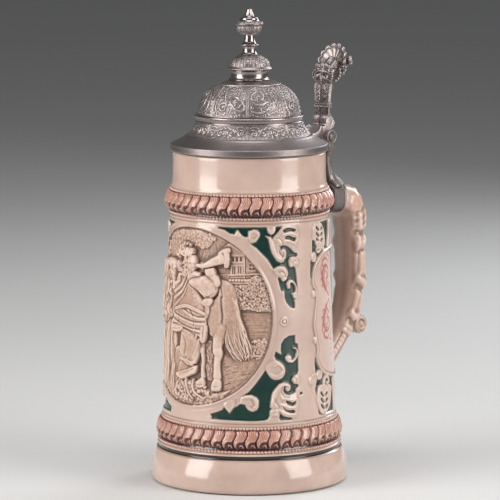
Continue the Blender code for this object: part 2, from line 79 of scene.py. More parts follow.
def vnoise(x, y, seed=0):
    """Value noise in 0..1."""
    ix, iy = np.floor(x), np.floor(y)
    fx, fy = x - ix, y - iy
    fx, fy = fx * fx * (3 - 2 * fx), fy * fy * (3 - 2 * fy)
    low = lattice(ix, iy, seed) * (1 - fx) + lattice(ix + 1, iy, seed) * fx
    high = lattice(ix, iy + 1, seed) * (1 - fx) + lattice(ix + 1, iy + 1, seed) * fx
    return low * (1 - fy) + high * fy


def fbm(x, y, octaves=3, seed=0):
    """Layered value noise in 0..1."""
    total, amp, norm = 0.0, 1.0, 0.0
    for o in range(octaves):
        total = total + amp * vnoise(x * 2 ** o, y * 2 ** o, seed + 17 * o)
        norm += amp
        amp *= 0.5
    return total / norm


def gauss_kernel(sigma):
    reach = max(1, int(3 * sigma + 0.5))
    kernel = np.exp(-0.5 * (np.arange(-reach, reach + 1) / sigma) ** 2)
    return reach, kernel / kernel.sum()


def blur(field, sigma, wrap=False):
    """Gaussian blur, sigma in cells."""
    reach, kernel = gauss_kernel(sigma)
    p = np.pad(field, ((reach, reach), (0, 0)), mode="edge")
    out = sum(k * p[i:i + field.shape[0]] for i, k in enumerate(kernel))
    p = np.pad(out, ((0, 0), (reach, reach)), mode="wrap" if wrap else "edge")
    return sum(k * p[:, i:i + field.shape[1]] for i, k in enumerate(kernel))


def hollows(field, wide, wide_depth, fine, fine_depth, fine_share=0.5):
    """How far each cell lies below its surroundings, -1..1."""
    return np.clip((blur(field, wide) - field) / wide_depth
                   + fine_share * (blur(field, fine) - field) / fine_depth, -1, 1)


def points(data):
    """Array of points from "a,b a,b ..." text or from any sequence."""
    if isinstance(data, str):
        data = [[float(v) for v in point.split(",")] for point in data.split()]
    return np.asarray(data, float)


def spline(pts, closed=False, per=6):
    """Catmull-Rom curve through the points."""
    p = points(pts)
    n = len(p)
    if n < 3:
        return p
    out = []
    for i in range(n if closed else n - 1):
        if closed:
            a, b, c, d = p[(i - 1) % n], p[i], p[(i + 1) % n], p[(i + 2) % n]
        else:
            a, b = p[max(i - 1, 0)], p[i]
            c, d = p[i + 1], p[min(i + 2, n - 1)]
        for step in range(per):
            t = step / per
            out.append(0.5 * (2 * b + (c - a) * t
                              + (2 * a - 5 * b + 4 * c - d) * t * t
                              + (3 * b - a - 3 * c + d) * t ** 3))
    if not closed:
        out.append(p[-1])
    return np.array(out)


def run_length(p):
    """Length along a line from its first point to each point."""
    return np.concatenate([[0], np.cumsum(np.hypot(*np.diff(p[:, :2], axis=0).T))])


def spiral(u, z, r0, r1, a0, a1, n=40, power=1.0):
    """Points from radius r0 at angle a0 to radius r1 at angle a1, degrees."""
    out = []
    for i in range(n + 1):
        r = r0 + (r1 - r0) * (i / n) ** power
        a = math.radians(a0 + (a1 - a0) * (i / n))
        out.append((u + r * math.cos(a), z + r * math.sin(a)))
    return out


def along(fraction, values):
    """Value at a fraction of the way through a short list."""
    values = np.atleast_1d(np.asarray(values, float))
    return np.interp(fraction, np.linspace(0, 1, len(values)), values)


def to_segment(U, Z, start, end):
    """Distance to a segment, and the share of it passed at the nearest point."""
    du, dz = end - start
    t = np.clip(((U - start[0]) * du + (Z - start[1]) * dz) / max(du * du + dz * dz, 1e-12), 0, 1)
    return np.hypot(U - start[0] - t * du, Z - start[1] - t * dz), t


def edge_mask(d, soft):
    """Distance (positive inside) to a 0..1 value that is 0.5 on the edge."""
    return np.clip(0.5 + d / (2 * soft), 0, 1)


class Sheet:
    """A height field over a rectangle of the unrolled surface."""

    def __init__(self, u0, u1, z0, z1, step):
        self.u0, self.z0, self.step = u0, z0, step
        self.nu = int(round((u1 - u0) / step)) + 1
        self.nz = int(round((z1 - z0) / step)) + 1
        self.U, self.Z = np.meshgrid(u0 + np.arange(self.nu) * step,
                                     z0 + np.arange(self.nz) * step)
        self.h = np.zeros((self.nz, self.nu))

    def window(self, p, pad):
        """Slices of the cells round some points."""
        p = np.asarray(p, float)
        (lo_u, lo_z), (hi_u, hi_z) = p.min(0) - pad, p.max(0) + pad
        i0 = max(0, int((lo_u - self.u0) / self.step) - 1)
        i1 = min(self.nu, int((hi_u - self.u0) / self.step) + 3)
        j0 = max(0, int((lo_z - self.z0) / self.step) - 1)
        j1 = min(self.nz, int((hi_z - self.z0) / self.step) + 3)
        return slice(j0, j1), slice(i0, i1)

    def line_dist(self, p, pad):
        """Window, distance to a polyline and the fraction of its length there."""
        w = self.window(p, pad)
        U, Z = self.U[w], self.Z[w]
        best = np.full(U.shape, 1e9)
        frac = np.zeros(U.shape)
        run = run_length(p)
        total = max(run[-1], 1e-9)
        for i in range(len(p) - 1):
            d, t = to_segment(U, Z, p[i], p[i + 1])
            near = d < best
            best = np.where(near, d, best)
            frac = np.where(near, (run[i] + t * (run[i + 1] - run[i])) / total, frac)
        return w, best, frac

    def inside(self, pts, pad=1.0, curve=True):
        """Window and signed distance to a closed outline, positive inside."""
        p = spline(pts, True, 5) if curve else points(pts)
        w = self.window(p, pad)
        U, Z = self.U[w], self.Z[w]
        best = np.full(U.shape, 1e9)
        odd = np.zeros(U.shape, bool)
        for start, end in zip(p, np.roll(p, -1, axis=0)):
            best = np.minimum(best, to_segment(U, Z, start, end)[0])
            (ax, az), (bx, bz) = start, end
            if abs(bz - az) > 1e-12:
                odd ^= ((az > Z) != (bz > Z)) & (U < (bx - ax) * (Z - az) / (bz - az) + ax)
        return w, np.where(odd, best, -best)

    def put(self, w, mask, value, add=False):
        """Raise the masked cells to a value, or by it."""
        cur = self.h[w]
        self.h[w] = np.where(mask, cur + value if add else np.maximum(cur, value), cur)

    def stroke(self, pts, radii, h, base=0.0, curve=True):
        """Rounded rope along a line; radii, heights and base run along it."""
        p = spline(pts) if curve else points(pts)
        w, d, f = self.line_dist(p, np.max(radii) + 0.4)
        r = along(f, radii)
        t = np.clip(1 - (d / np.maximum(r, 1e-3)) ** 2, 0, 1)
        self.put(w, d < r, along(f, base) + along(f, h) * t ** 0.5)

    def coil(self, u, z, r0, r1, a0, a1, n, radii, h, base=0.0, power=1.0):
        """Spiral rope."""
        self.stroke(spiral(u, z, r0, r1, a0, a1, n, power), radii, h, base, curve=False)

    def blob(self, u, z, ru, rz=None, rot=0.0, h=1.0, base=0.0):
        """Half-ellipsoid lump, turned by rot degrees."""
        rz = ru if rz is None else rz
        w = self.window([(u, z)], max(ru, rz))
        c, s = math.cos(math.radians(rot)), math.sin(math.radians(rot))
        du, dz = self.U[w] - u, self.Z[w] - z
        t = 1 - ((du * c + dz * s) / ru) ** 2 - ((-du * s + dz * c) / rz) ** 2
        self.put(w, t > 0, base + h * np.clip(t, 0, 1) ** 0.5)

    def plate(self, pts, h, bevel, base=0.0, curve=True, power=0.5, add=False):
        """Raised patch with rounded edges."""
        w, d = self.inside(pts, 0.5, curve)
        t = np.clip(d / bevel, 0, 1)
        self.put(w, d > 0, base + h * (1 - (1 - t) ** 2) ** power, add)

    def cut(self, pts, width, depth, curve=True):
        """Engraved line (negative depth raises a ridge)."""
        p = spline(pts) if curve else points(pts)
        w, d, _ = self.line_dist(p, width * 2.2)
        self.h[w] -= depth * np.exp(-(d / width) ** 2)

    def sample(self, field, u, z):
        """Bilinear look-up of any array that matches the sheet."""
        x = np.clip((u - self.u0) / self.step, 0, self.nu - 1.001)
        y = np.clip((z - self.z0) / self.step, 0, self.nz - 1.001)
        i, j = x.astype(int), y.astype(int)
        fx, fy = x - i, y - j
        return ((field[j, i] * (1 - fx) + field[j, i + 1] * fx) * (1 - fy)
                + (field[j + 1, i] * (1 - fx) + field[j + 1, i + 1] * fx) * fy)


# ------------------------------------------------------------------ materials
class Nodes:
    """A material with a Principled shader and short calls for its nodes."""

    def __init__(self, name):
        self.mat = bpy.data.materials.new(name)
        self.mat.use_nodes = True
        self.tree = self.mat.node_tree
        self.tree.nodes.clear()
        out = self.new("OutputMaterial")
        self.bsdf = self.new("BsdfPrincipled")
        self.link(self.bsdf.outputs[0], out.inputs["Surface"])

    def new(self, kind):
        return self.tree.nodes.new("ShaderNode" + kind)

    def link(self, a, b):
        self.tree.links.new(a, b)

    def put(self, socket, value):
        """Link a socket or set a value; colours may leave out alpha."""
        if isinstance(value, bpy.types.NodeSocket):
            self.link(value, socket)
            return
        if isinstance(value, tuple) and len(value) == 3:
            value = value + (1.0,)
        socket.default_value = value

    def attr(self, name):
        node = self.new("Attribute")
        node.attribute_name = name
        parts = self.new("SeparateColor")
        self.link(node.outputs["Color"], parts.inputs[0])
        return parts.outputs[0], parts.outputs[1], parts.outputs[2], node.outputs["Alpha"]

    def math(self, operation, a, b, clamp=False):
        node = self.new("Math")
        node.operation = operation
        node.use_clamp = clamp
        self.put(node.inputs[0], a)
        self.put(node.inputs[1], b)
        return node.outputs[0]

    def ramp(self, value, start, end, low=0.0, high=1.0):
        """Map start..end to low..high, clamped."""
        node = self.new("MapRange")
        node.clamp = True
        for key, v in (("Value", value), ("From Min", start), ("From Max", end),
                       ("To Min", low), ("To Max", high)):
            self.put(node.inputs[key], v)
        return node.outputs[0]

    def mix(self, factor, a, b):
        node = self.new("Mix")
        node.data_type = "RGBA"
        node.clamp_factor = True
        self.put(node.inputs[0], factor)
        self.put(node.inputs[6], a)
        self.put(node.inputs[7], b)
        return node.outputs[2]

    def coords(self, stretch=(1.0, 1.0, 1.0)):
        source = self.new("TexCoord")
        mapping = self.new("Mapping")
        mapping.inputs["Scale"].default_value = stretch
        self.link(source.outputs["Object"], mapping.inputs[0])
        return mapping.outputs[0]

    def noise(self, scale, detail, rough, vec=None):
        node = self.new("TexNoise")
        node.inputs["Scale"].default_value = scale
        node.inputs["Detail"].default_value = detail
        node.inputs["Roughness"].default_value = rough
        self.link(vec or self.coords(), node.inputs["Vector"])
        return node.outputs["Fac"]

    def voronoi(self, scale):
        node = self.new("TexVoronoi")
        node.inputs["Scale"].default_value = scale
        self.link(self.coords(), node.inputs["Vector"])
        return node.outputs["Distance"]

    def bump(self, height, strength, distance, normal=None):
        node = self.new("Bump")
        node.inputs["Strength"].default_value = strength
        node.inputs["Distance"].default_value = distance
        self.put(node.inputs["Height"], height)
        if normal is not None:
            self.link(normal, node.inputs["Normal"])
        return node.outputs[0]

    def set(self, **inputs):
        for key, value in inputs.items():
            self.put(self.bsdf.inputs[key.replace("_", " ")], value)
        return self.mat


def clay_material(name):
    """Glazed stoneware: cream body, tan reliefs and coloured glazes."""
    cream_dark, cream_pale = (0.475, 0.338, 0.282), (0.615, 0.455, 0.388)
    cream_stain_and_shade, cream_painted_highlight = (0.27, 0.165, 0.105), (0.72, 0.58, 0.51)
    tan_dark, tan_pale, tan_fleck = (0.345, 0.212, 0.155), (0.47, 0.305, 0.230), (0.58, 0.40, 0.32)
    tan_stain_and_shade, tan_painted_highlight = (0.085, 0.040, 0.024), (0.74, 0.585, 0.505)
    blush = (0.62, 0.335, 0.255)
    oxblood_dark, oxblood_pale = (0.085, 0.011, 0.005), (0.21, 0.030, 0.015)
    green_dark, green_pale = (0.0004, 0.018, 0.013), (0.001, 0.046, 0.034)
    green_painted_highlight, red_paint = (0.012, 0.07, 0.058), (0.36, 0.030, 0.030)
    black_glaze, speckle = (0.012, 0.009, 0.008), (0.20, 0.12, 0.075)
    red_cover = 0.84

    m = Nodes(name)
    green, oxblood, black, red = m.attr("glaze")
    relief, hollow, pink, _ = m.attr("clay")
    cloud = m.noise(scale=28, detail=4, rough=0.6)
    fine = m.noise(scale=420, detail=3, rough=0.6)
    speck = m.voronoi(scale=900)
    cream = m.mix(m.ramp(cloud, start=0.3, end=0.72), cream_dark, cream_pale)
    # darker in the hollows of the relief: partly brown stain, partly painted shade
    cream = m.mix(m.ramp(hollow, start=0.5, end=0.95, high=0.85), cream, cream_stain_and_shade)
    # painted highlight: the cream lightens on the raised parts
    cream = m.mix(m.ramp(hollow, start=0.5, end=0.1, high=0.6), cream, cream_painted_highlight)
    tan = m.mix(m.ramp(cloud, start=0.25, end=0.75), tan_dark, tan_pale)
    tan = m.mix(m.ramp(fine, start=0.35, end=0.7, high=0.25), tan, tan_fleck)
    # darker in the crevices of the picture: partly brown stain, partly painted shade
    tan = m.mix(m.ramp(hollow, start=0.5, end=0.9, high=0.84), tan, tan_stain_and_shade)
    # painted highlight: the tan lightens on the raised forms
    tan = m.mix(m.ramp(hollow, start=0.46, end=0.05, high=0.75), tan, tan_painted_highlight)
    color = m.mix(relief, cream, tan)
    color = m.mix(m.ramp(pink, start=0.0, end=1.0, high=0.9), color, blush)
    wash = m.math("MULTIPLY", m.noise(scale=120, detail=3, rough=0.6), 1.0)
    color = m.mix(oxblood, color,
                  m.mix(m.ramp(wash, start=0.35, end=0.7), oxblood_dark, oxblood_pale))
    pool = m.noise(scale=60, detail=4, rough=0.6)
    glaze = m.mix(m.ramp(pool, start=0.3, end=0.75), green_dark, green_pale)
    # painted highlight: the green glaze lightens on the raised parts
    glaze = m.mix(m.ramp(hollow, start=0.5, end=0.2, high=0.3), glaze, green_painted_highlight)
    color = m.mix(green, color, glaze)
    color = m.mix(m.math("MULTIPLY", red, red_cover), color, red_paint)
    color = m.mix(black, color, black_glaze)
    color = m.mix(m.ramp(speck, start=0.0, end=0.12, low=0.18, high=0.0), color, speckle)

    # bare relief is duller and has less clear coat than the glazed wall
    matt, coat_full, coat_loss = 0.27, 0.6, 0.5
    bare = m.math("MULTIPLY", relief, 1.0)
    rough = m.math("ADD", m.math("MULTIPLY", bare, matt),
                   m.ramp(cloud, start=0.3, end=0.7, low=0.17, high=0.24))
    normal = m.bump(m.noise(scale=55, detail=2, rough=0.5), strength=0.06, distance=0.0012)
    normal = m.bump(fine, strength=0.06, distance=0.00025, normal=normal)
    loss = m.math("MULTIPLY", m.math("MAXIMUM", bare, green), coat_loss)
    coat = m.math("SUBTRACT", coat_full, loss, clamp=True)
    return m.set(Base_Color=color, Roughness=rough, Normal=normal, Coat_Weight=coat,
                 Coat_Roughness=0.09, IOR=1.5, Specular_IOR_Level=0.45,
                 Subsurface_Weight=0.0)


def pewter_material(name, light, patina, rough, grain, hot=0.6, brushed=False,
                    deep=(0.040, 0.033, 0.031)):
    """Cast pewter: light is its grey, patina and deep the tarnish in the hollows,
    hot the painted highlight on the high spots, grain the strength of the surface bumps."""
    base = (light, light * 0.872, light * 0.850)
    dark = tuple(c * 0.74 for c in base)
    bright = tuple(min(1.0, c * 1.7) for c in base)
    hollow_rough, hollow_dull = 0.25, 0.45       # roughness added, metal lost

    m = Nodes(name)
    sunk = m.attr("patina_and_highlight")[0]
    cloud = m.noise(scale=70, detail=5, rough=0.6)
    if brushed:
        streak = m.noise(scale=1.0, detail=4, rough=0.6, vec=m.coords((160, 160, 2600)))
    else:
        streak = m.noise(scale=900, detail=3, rough=0.6)
    color = m.mix(m.ramp(cloud, start=0.3, end=0.75), dark, base)
    # painted highlight: the high spots are mixed towards a lighter grey
    color = m.mix(m.ramp(sunk, start=0.48, end=0.1, high=hot), color, bright)
    hollow = m.ramp(sunk, start=0.5, end=0.95, high=patina)
    color = m.mix(hollow, color, deep)
    roughness = m.math("ADD",
                       m.ramp(cloud, start=0.3, end=0.75, low=rough + 0.06, high=rough - 0.04),
                       m.math("MULTIPLY", hollow, hollow_rough))
    normal = m.bump(streak, strength=grain, distance=0.0002)
    normal = m.bump(m.noise(scale=160, detail=4, rough=0.6), strength=grain * 0.8,
                    distance=0.0005, normal=normal)
    metal = m.math("SUBTRACT", 1.0, m.math("MULTIPLY", hollow, hollow_dull))
    return m.set(Base_Color=color, Metallic=metal, Roughness=roughness, Normal=normal)


CLAY = clay_material("stein_glaze")
SATIN = pewter_material("pewter_satin", light=0.27, patina=0.85, rough=0.43, brushed=True,
                        grain=0.05)
EMBOSSED = pewter_material("pewter_embossed", light=0.32, patina=0.62, rough=0.40, grain=0.06,
                           hot=0.5, deep=(0.060, 0.050, 0.047))
BRIGHT = pewter_material("pewter_bright", light=0.38, patina=0.8, rough=0.19, grain=0.012)
CAST = pewter_material("pewter_cast", light=0.32, patina=0.95, rough=0.40, grain=0.07, hot=0.75)
SHADED = pewter_material("pewter_shaded", light=0.23, patina=0.95, rough=0.43, grain=0.05,
                         hot=0.45)
# lighter copy of the cast pewter for the lid tongue: painted light
PEWTER_LIT = pewter_material("pewter_lit", light=0.50, patina=0.8, rough=0.47, grain=0.07)


# ---------------------------------------------------------------- the picture
def on_wall(*spots):
    """Spots (across, height) of the front view, projected on to the wall as (u, z).

    The viewer stands 45 degrees to the right of the picture and looks slightly
    down.  across is to the right of the mug's axis, height is up.
    """
    out = []
    for across, height in spots:
        below = 175.26 - height
        sine = (0.0189757065 * across - 5.23888e-5 + 2.1959e-6 * below
                - 7.12807e-6 * across * below)
        turn = math.asin(sine)
        depth = math.cos(turn)
        z = (168.7789 - 0.99551536 * below + 6.4769 * depth
             + 0.0276612628 * below * depth - 5.115552e-5 * below * below)
        out.append(((turn + math.pi / 4) * SHEET_R, z))
    return np.array(out)


def view_box(left, top, width, height):
    """Corners on the wall of an upright rectangle in the front view."""
    right, bottom = left + width, top - height
    return on_wall((left, top), (right, top), (right, bottom), (left, bottom))


def scatter(sheet, outline, n, r_lo, r_hi, base, h, seed, stretch=1.6):
    """Small overlapping lumps that read as leaves, stones or fleece."""
    rng = np.random.default_rng(seed)
    p = spline(outline, True, 4)
    lo, hi = p.min(0), p.max(0)
    w, d = sheet.inside(outline, 0.5)
    u0, z0 = sheet.U[w][0, 0], sheet.Z[w][0, 0]
    count = 0
    for _ in range(n * 6):
        if count >= n:
            break
        u = rng.uniform(lo[0], hi[0])
        z = rng.uniform(lo[1], hi[1])
        i = int((u - u0) / sheet.step)
        j = int((z - z0) / sheet.step)
        if 0 <= j < d.shape[0] and 0 <= i < d.shape[1] and d[j, i] > 0.3:
            r = rng.uniform(r_lo, r_hi)
            edge = min(1.0, d[j, i] / 3.0)
            sheet.blob(u, z, r * stretch, r, rng.uniform(0, 180),
                       h * rng.uniform(0.55, 1.0),
                       base * (0.55 + 0.45 * edge) * rng.uniform(0.8, 1.0))
            count += 1


def curl(sheet, u, z, r, start, turn, base, h):
    """One tight curl of hair or foliage."""
    wide = r * 0.34
    sheet.coil(u, z, r, r * 0.18, start, start + turn, 18,
               [wide, wide * 0.9, wide * 0.6], [h, h, h * 0.8], base)


def draw_foliage(pic, rng):
    """Clouds of leaves, upper left, running on round the hidden side."""
    cloud = points("""-30.2,155.3 -29.3,159.3 -17.6,162.4 -6.2,164.3 6.4,164.5 14.2,162.4 19.4,161
        17.2,158.4 14.6,155.1 10.2,153.5 5,154.1 1.1,155 -5.9,153.9 -12.1,150.3 -17.6,146.8
        -27.1,145""")
    pic.plate(cloud, 0.7, 3.0, 0.15)
    scatter(pic, cloud, 330, 0.55, 1.0, 0.55, 0.75, 11)
    for k in range(26):
        u, z = cloud[k % len(cloud)]
        pic.cut([(u, z), (u + rng.uniform(-5, 5), z - rng.uniform(4, 9))], 0.35, 0.12)
    tree_top = "-57,120 -57,146 -48,158 -38,160 -33,152 -36,142 -42,134 -46,122"
    pic.plate(tree_top, 1.0, 3.0, 0.2)
    scatter(pic, tree_top, 260, 0.6, 1.1, 0.9, 0.9, 12)


def draw_house(pic):
    """Half-timbered house with a wing on the right and a fence on the left."""
    for outline, h, bevel, base in (
            ("20,151.5 27.3,157.3 28.3,156.3 23.2,151.8 22.6,149.8", 0.25, 0.6, 0.45),  # left roof
            ("39.1,150.5 41.5,147.4 50.4,138.1 51,131.4 39.1,131.5", 0.2, 0.5, 0.25),   # wing
            ("28.7,150.6 39,150.8 39,131.8 28.8,131.5", 0.25, 0.5, 0.5),                # wall
            ("27.3,157.3 29,157.4 39.5,150.9 39.2,150.1 28.7,149.9 27.4,151.2",         # roof
             0.35, 0.7, 0.65)):
        pic.plate(outline, h, bevel, base, curve=False)
    pic.stroke("28.1,157 39.2,150.8", 0.45, 0.3, 0.85)
    pic.stroke("39.1,150.5 50.6,137.9", 0.5, 0.3, 0.55)
    pic.stroke("28.8,150.2 39,150.4", 0.35, 0.25, 0.85)
    # upper windows with sills, lower windows between posts
    for left in (-11.8372, -9.083, -6.3874):
        pic.plate(view_box(left, 148.597, 1.8752, 3.1058), -0.55, 0.25, curve=False, add=True)
        pic.stroke(on_wall((left - 0.2344, 145.2568), (left + 2.1096, 145.2568)),
                   0.28, 0.25, 0.75)
    pic.stroke(on_wall((-12.5404, 143.323), (-2.6956, 143.1472)), 0.3, 0.25, 0.75)
    for left in (-11.3098, -9.962, -7.3836, -6.0358):
        pic.plate(view_box(left, 141.9752, 0.879, 4.2192), -0.5, 0.2, curve=False, add=True)
    for across in (-11.72, -8.5556, -7.9696, -4.688):
        pic.stroke(on_wall((across, 142.444), (across, 137.2872)), 0.22, 0.22, 0.72)
    for height in (140.686, 139.3968):
        pic.cut(on_wall((-12.1888, height), (-11.6028, height)), 0.2, 0.2)
        pic.cut(on_wall((-4.5708, height), (-2.8128, height)), 0.2, 0.2)
    pic.cut("39,150.8 39,131.8", 0.28, 0.7)
    pic.cut("28.7,150.6 28.8,131.5", 0.25, 0.4)
    # windows and beams of the wing
    for left in (0.0, 1.9924):
        for top in (143.909, 141.7408):
            pic.plate(view_box(left, top, 1.5236, 1.6408), -0.5, 0.2, curve=False, add=True)
    pic.stroke(on_wall((-0.586, 144.5536), (4.102, 144.5536)), 0.25, 0.25, 0.5)
    pic.stroke(on_wall((-0.586, 139.6312), (4.102, 139.6312)), 0.3, 0.3, 0.5)
    # beams and beam ends at the foot of the wall
    pic.stroke(on_wall((-12.6576, 136.877), (9.2002, 137.756)), 0.4, 0.3, 0.8)
    pic.cut(on_wall((-12.6576, 136.1152), (9.2002, 136.9356)), 0.25, 0.35)
    for k in range(7):
        pic.blob(*on_wall((-12.6576 + 1.9924 * k, 133.4196))[0], 0.95, 0.85, 0, 0.6, 0.7)
    pic.stroke(on_wall((-13.3608, 131.7788), (-0.4688, 131.7788)), 0.4, 0.35, 0.8)
    pic.cut(on_wall((-12.7748, 134.5916), (0.1172, 134.7088)), 0.25, 0.35)
    # fence
    pic.plate("20.5,141.3 28.6,142.2 28.7,132.7 21.1,132.3", 0.2, 0.4, 0.35, curve=False)
    for k in range(7):
        across = -19.924 + 1.0548 * k
        pic.cut(on_wall((across, 140.979), (across, 137.9904)), 0.2, 0.3)
    pic.cut(on_wall((-20.6858, 137.756), (-13.0092, 138.1076)), 0.25, 0.4)
    for k in range(4):
        across = -18.6348 + 1.2892 * k
        pic.cut(on_wall((across, 137.17), (across, 134.826)), 0.22, 0.22)


def draw_fields(pic, rng):
    """Hedge, furrows, bushes and a hill on the right."""
    hedge = """28.8,131 35.2,132.1 40.9,134.8 44.4,137.1 49.6,137.5 52.5,134.2 54.3,129.5
        55.6,123.8 56.3,115.5 49.5,114.7 40.9,116 34.1,116.5 32.3,120.5 30.3,125"""
    pic.plate(hedge, 0.5, 2.0, 0.25)
    scatter(pic, hedge, 560, 0.42, 0.72, 0.75, 0.75, 21, 1.5)
    for k in range(34):
        height = 113.144 - 0.586 * k
        left = rng.uniform(-7.5008, -3.9848)
        right = rng.uniform(10.0792, 14.65) - max(0, 101.424 - height) * 0.5
        pic.cut(on_wall((left, height), (right, height - rng.uniform(-0.293, 0.293))),
                0.22, rng.uniform(0.08, 0.26))
    bushes = "40.1,94 44.3,96.6 49.4,97.6 53.2,97.2 51.7,91.5 48.3,85.3 44.3,84.3 40.9,86.6"
    scatter(pic, bushes, 150, 0.4, 0.75, 0.35, 0.6, 22)
    pic.plate("23.7,86.6 29.6,86.5 38.7,84.7 45.1,82.5 42.6,76.2 37,70.5 29.7,65.7 23.9,64.8",
              0.55, 9.0)
    for k in range(60):
        left = rng.uniform(-16.8768, -1.6408)
        height = 79.9764 - rng.uniform(0, 15.236)
        pic.cut(on_wall((left, height), (left + rng.uniform(1.465, 4.102),
                                         height - rng.uniform(-1.4064, -0.2344))), 0.28, 0.14)


def draw_ground(pic):
    """Ground with stones."""
    ground = """-28.4,58.1 -16.1,64.8 -7.4,67.9 2.8,69.2 9.3,65.4 15.3,64.2 23.9,63.7 29.7,65.1
        23.9,60.2 15.4,55.9 6.7,52.7 -3.4,51.9 -14.4,53.2 -23,55.5"""
    pic.plate(ground, 0.9, 3.0, 0.4)
    scatter(pic, ground, 210, 0.6, 1.25, 0.95, 0.85, 31)
    scatter(pic, "-54.5,63.9 -43.9,72.1 -32.8,67.5 -18.6,62.1 -9,53.7 -32.2,48.7 -48.6,52.2",
            220, 0.6, 1.1, 0.7, 0.8, 32)


def draw_horse(pic, rng):
    """Horse seen from behind."""
    pic.plate("""20.6,134.6 24.6,134.6 28.8,133.2 32.2,129.7 33.9,124 35,117.7 35.2,112 33.7,107.4
        29.5,105.9 27.3,102.1 26.2,96.9 23.7,92.7 20,92.5 18.6,97.6 15.3,100.2 13.8,107 12.9,113.8
        14.7,120.2 19.8,123.1 21.5,129.2""", 1.5, 6.5, 0.9)
    # haunches
    pic.plate("22.8,131.6 28.2,129.5 31.2,123.9 32.1,116 29.5,109.6 26,108.9 22.9,113.3 21.5,120.7",
              0.7, 6.0, 1.9)
    pic.plate("14.7,116.8 19.8,118.8 22.9,114.4 23.6,106.5 20.6,100.6 16.2,102.6 14,109.3",
              0.6, 5.0, 1.9)
    pic.cut("23.5,123.6 23.9,117.3 24.5,111.1 23.6,105.3", 0.8, 0.55)
    pic.cut("20.9,133.8 23.4,129.3 24.2,123.6", 0.6, 0.3)
    # legs, hocks and hooves
    pic.stroke("11.9,99.6 11.3,94.9 10.5,90.8 11.1,86.8 11.6,82.3 11.2,77.6 11.6,73.1",
               [2.1, 1.9, 1.9, 1.5, 1.35, 1.35, 1.7], 1.3, 0.9)
    pic.stroke("23,104.4 21.7,98 21,91.6 21.8,87.7 21,83 20.9,78.4 21.1,73.3",
               [4.6, 3.9, 3.2, 3.0, 2.1, 2.1, 2.6], [1.4, 1.4, 1.4, 1.5, 1.4], 1.1)
    pic.blob(10.5, 89.6, 2.0, 2.3, 0, 0.6, 1.9)
    pic.blob(21.4, 89.3, 3.1, 3.2, 0, 0.7, 2.1)
    pic.plate("7.2,69.7 11.3,72.5 13.3,69.8 12.7,66.3 7.9,65.3 6.1,67", 1.0, 1.3, 1.4)
    pic.plate("18.4,70.8 20.8,73 23.5,71.1 23.9,67.1 22.7,64.3 17.8,64.4 17.3,66.7", 1.1, 1.5, 1.5)
    pic.cut("6.5,67.8 10,67.4 13,68.6", 0.3, 0.3)
    pic.cut("17.7,67.7 20.9,66.9 23.7,68", 0.3, 0.3)
    # reeds between the legs
    pic.plate("13.3,95.7 18.2,94.3 18.9,86.3 18.6,76 17.8,70.7 13.9,72.1 13.2,81.3 13.1,89.9",
              0.3, 1.0, 0.5)
    for k in range(22):
        across, height = rng.uniform(-27.4248, -23.6158), 93.4544 - rng.uniform(0, 21.682)
        pic.stroke(on_wall((across, height), (across + rng.uniform(-0.8204, 0.8204),
                                              height - rng.uniform(1.172, 2.5784))),
                   0.4, 0.4, 0.75)
    # tail: wavy locks between its left and right edges
    left = points("29.1,122.7 28.7,115.3 27.4,106.9 26.4,99.5 27.5,93.3 31.2,87.1 33.5,84.9")
    right = points("32.7,121.7 34.2,115.5 36.3,108.2 38.4,102 40.7,95.7 41.9,89.4 40.5,85.8")
    pic.plate(np.vstack([left, right[::-1]]), 0.35, 3.0, 0.25)
    for k in range(44):
        share = ((k * 7) % 22) / 21.0
        t = np.linspace(0, 1, 7)
        lock = left * (1 - share) + right * share
        sway = (0.5 + 0.9 * t) * np.sin(t * 8.5 + 1.3 * k) * 0.75
        lock = lock + np.stack([sway, rng.uniform(-1.5, 1.5) + 0 * t], 1)
        count = 7 if k % 3 else rng.integers(5, 7)
        r = rng.uniform(0.40, 0.66)
        pic.stroke(lock[:count], [r * 1.2, r, r * 0.9, r * 0.4], [0.55, 0.65, 0.6, 0.3],
                   [1.5 + 0.4 * (k % 2), 1.35, 1.1 + 0.5 * rng.uniform(), 0.8])


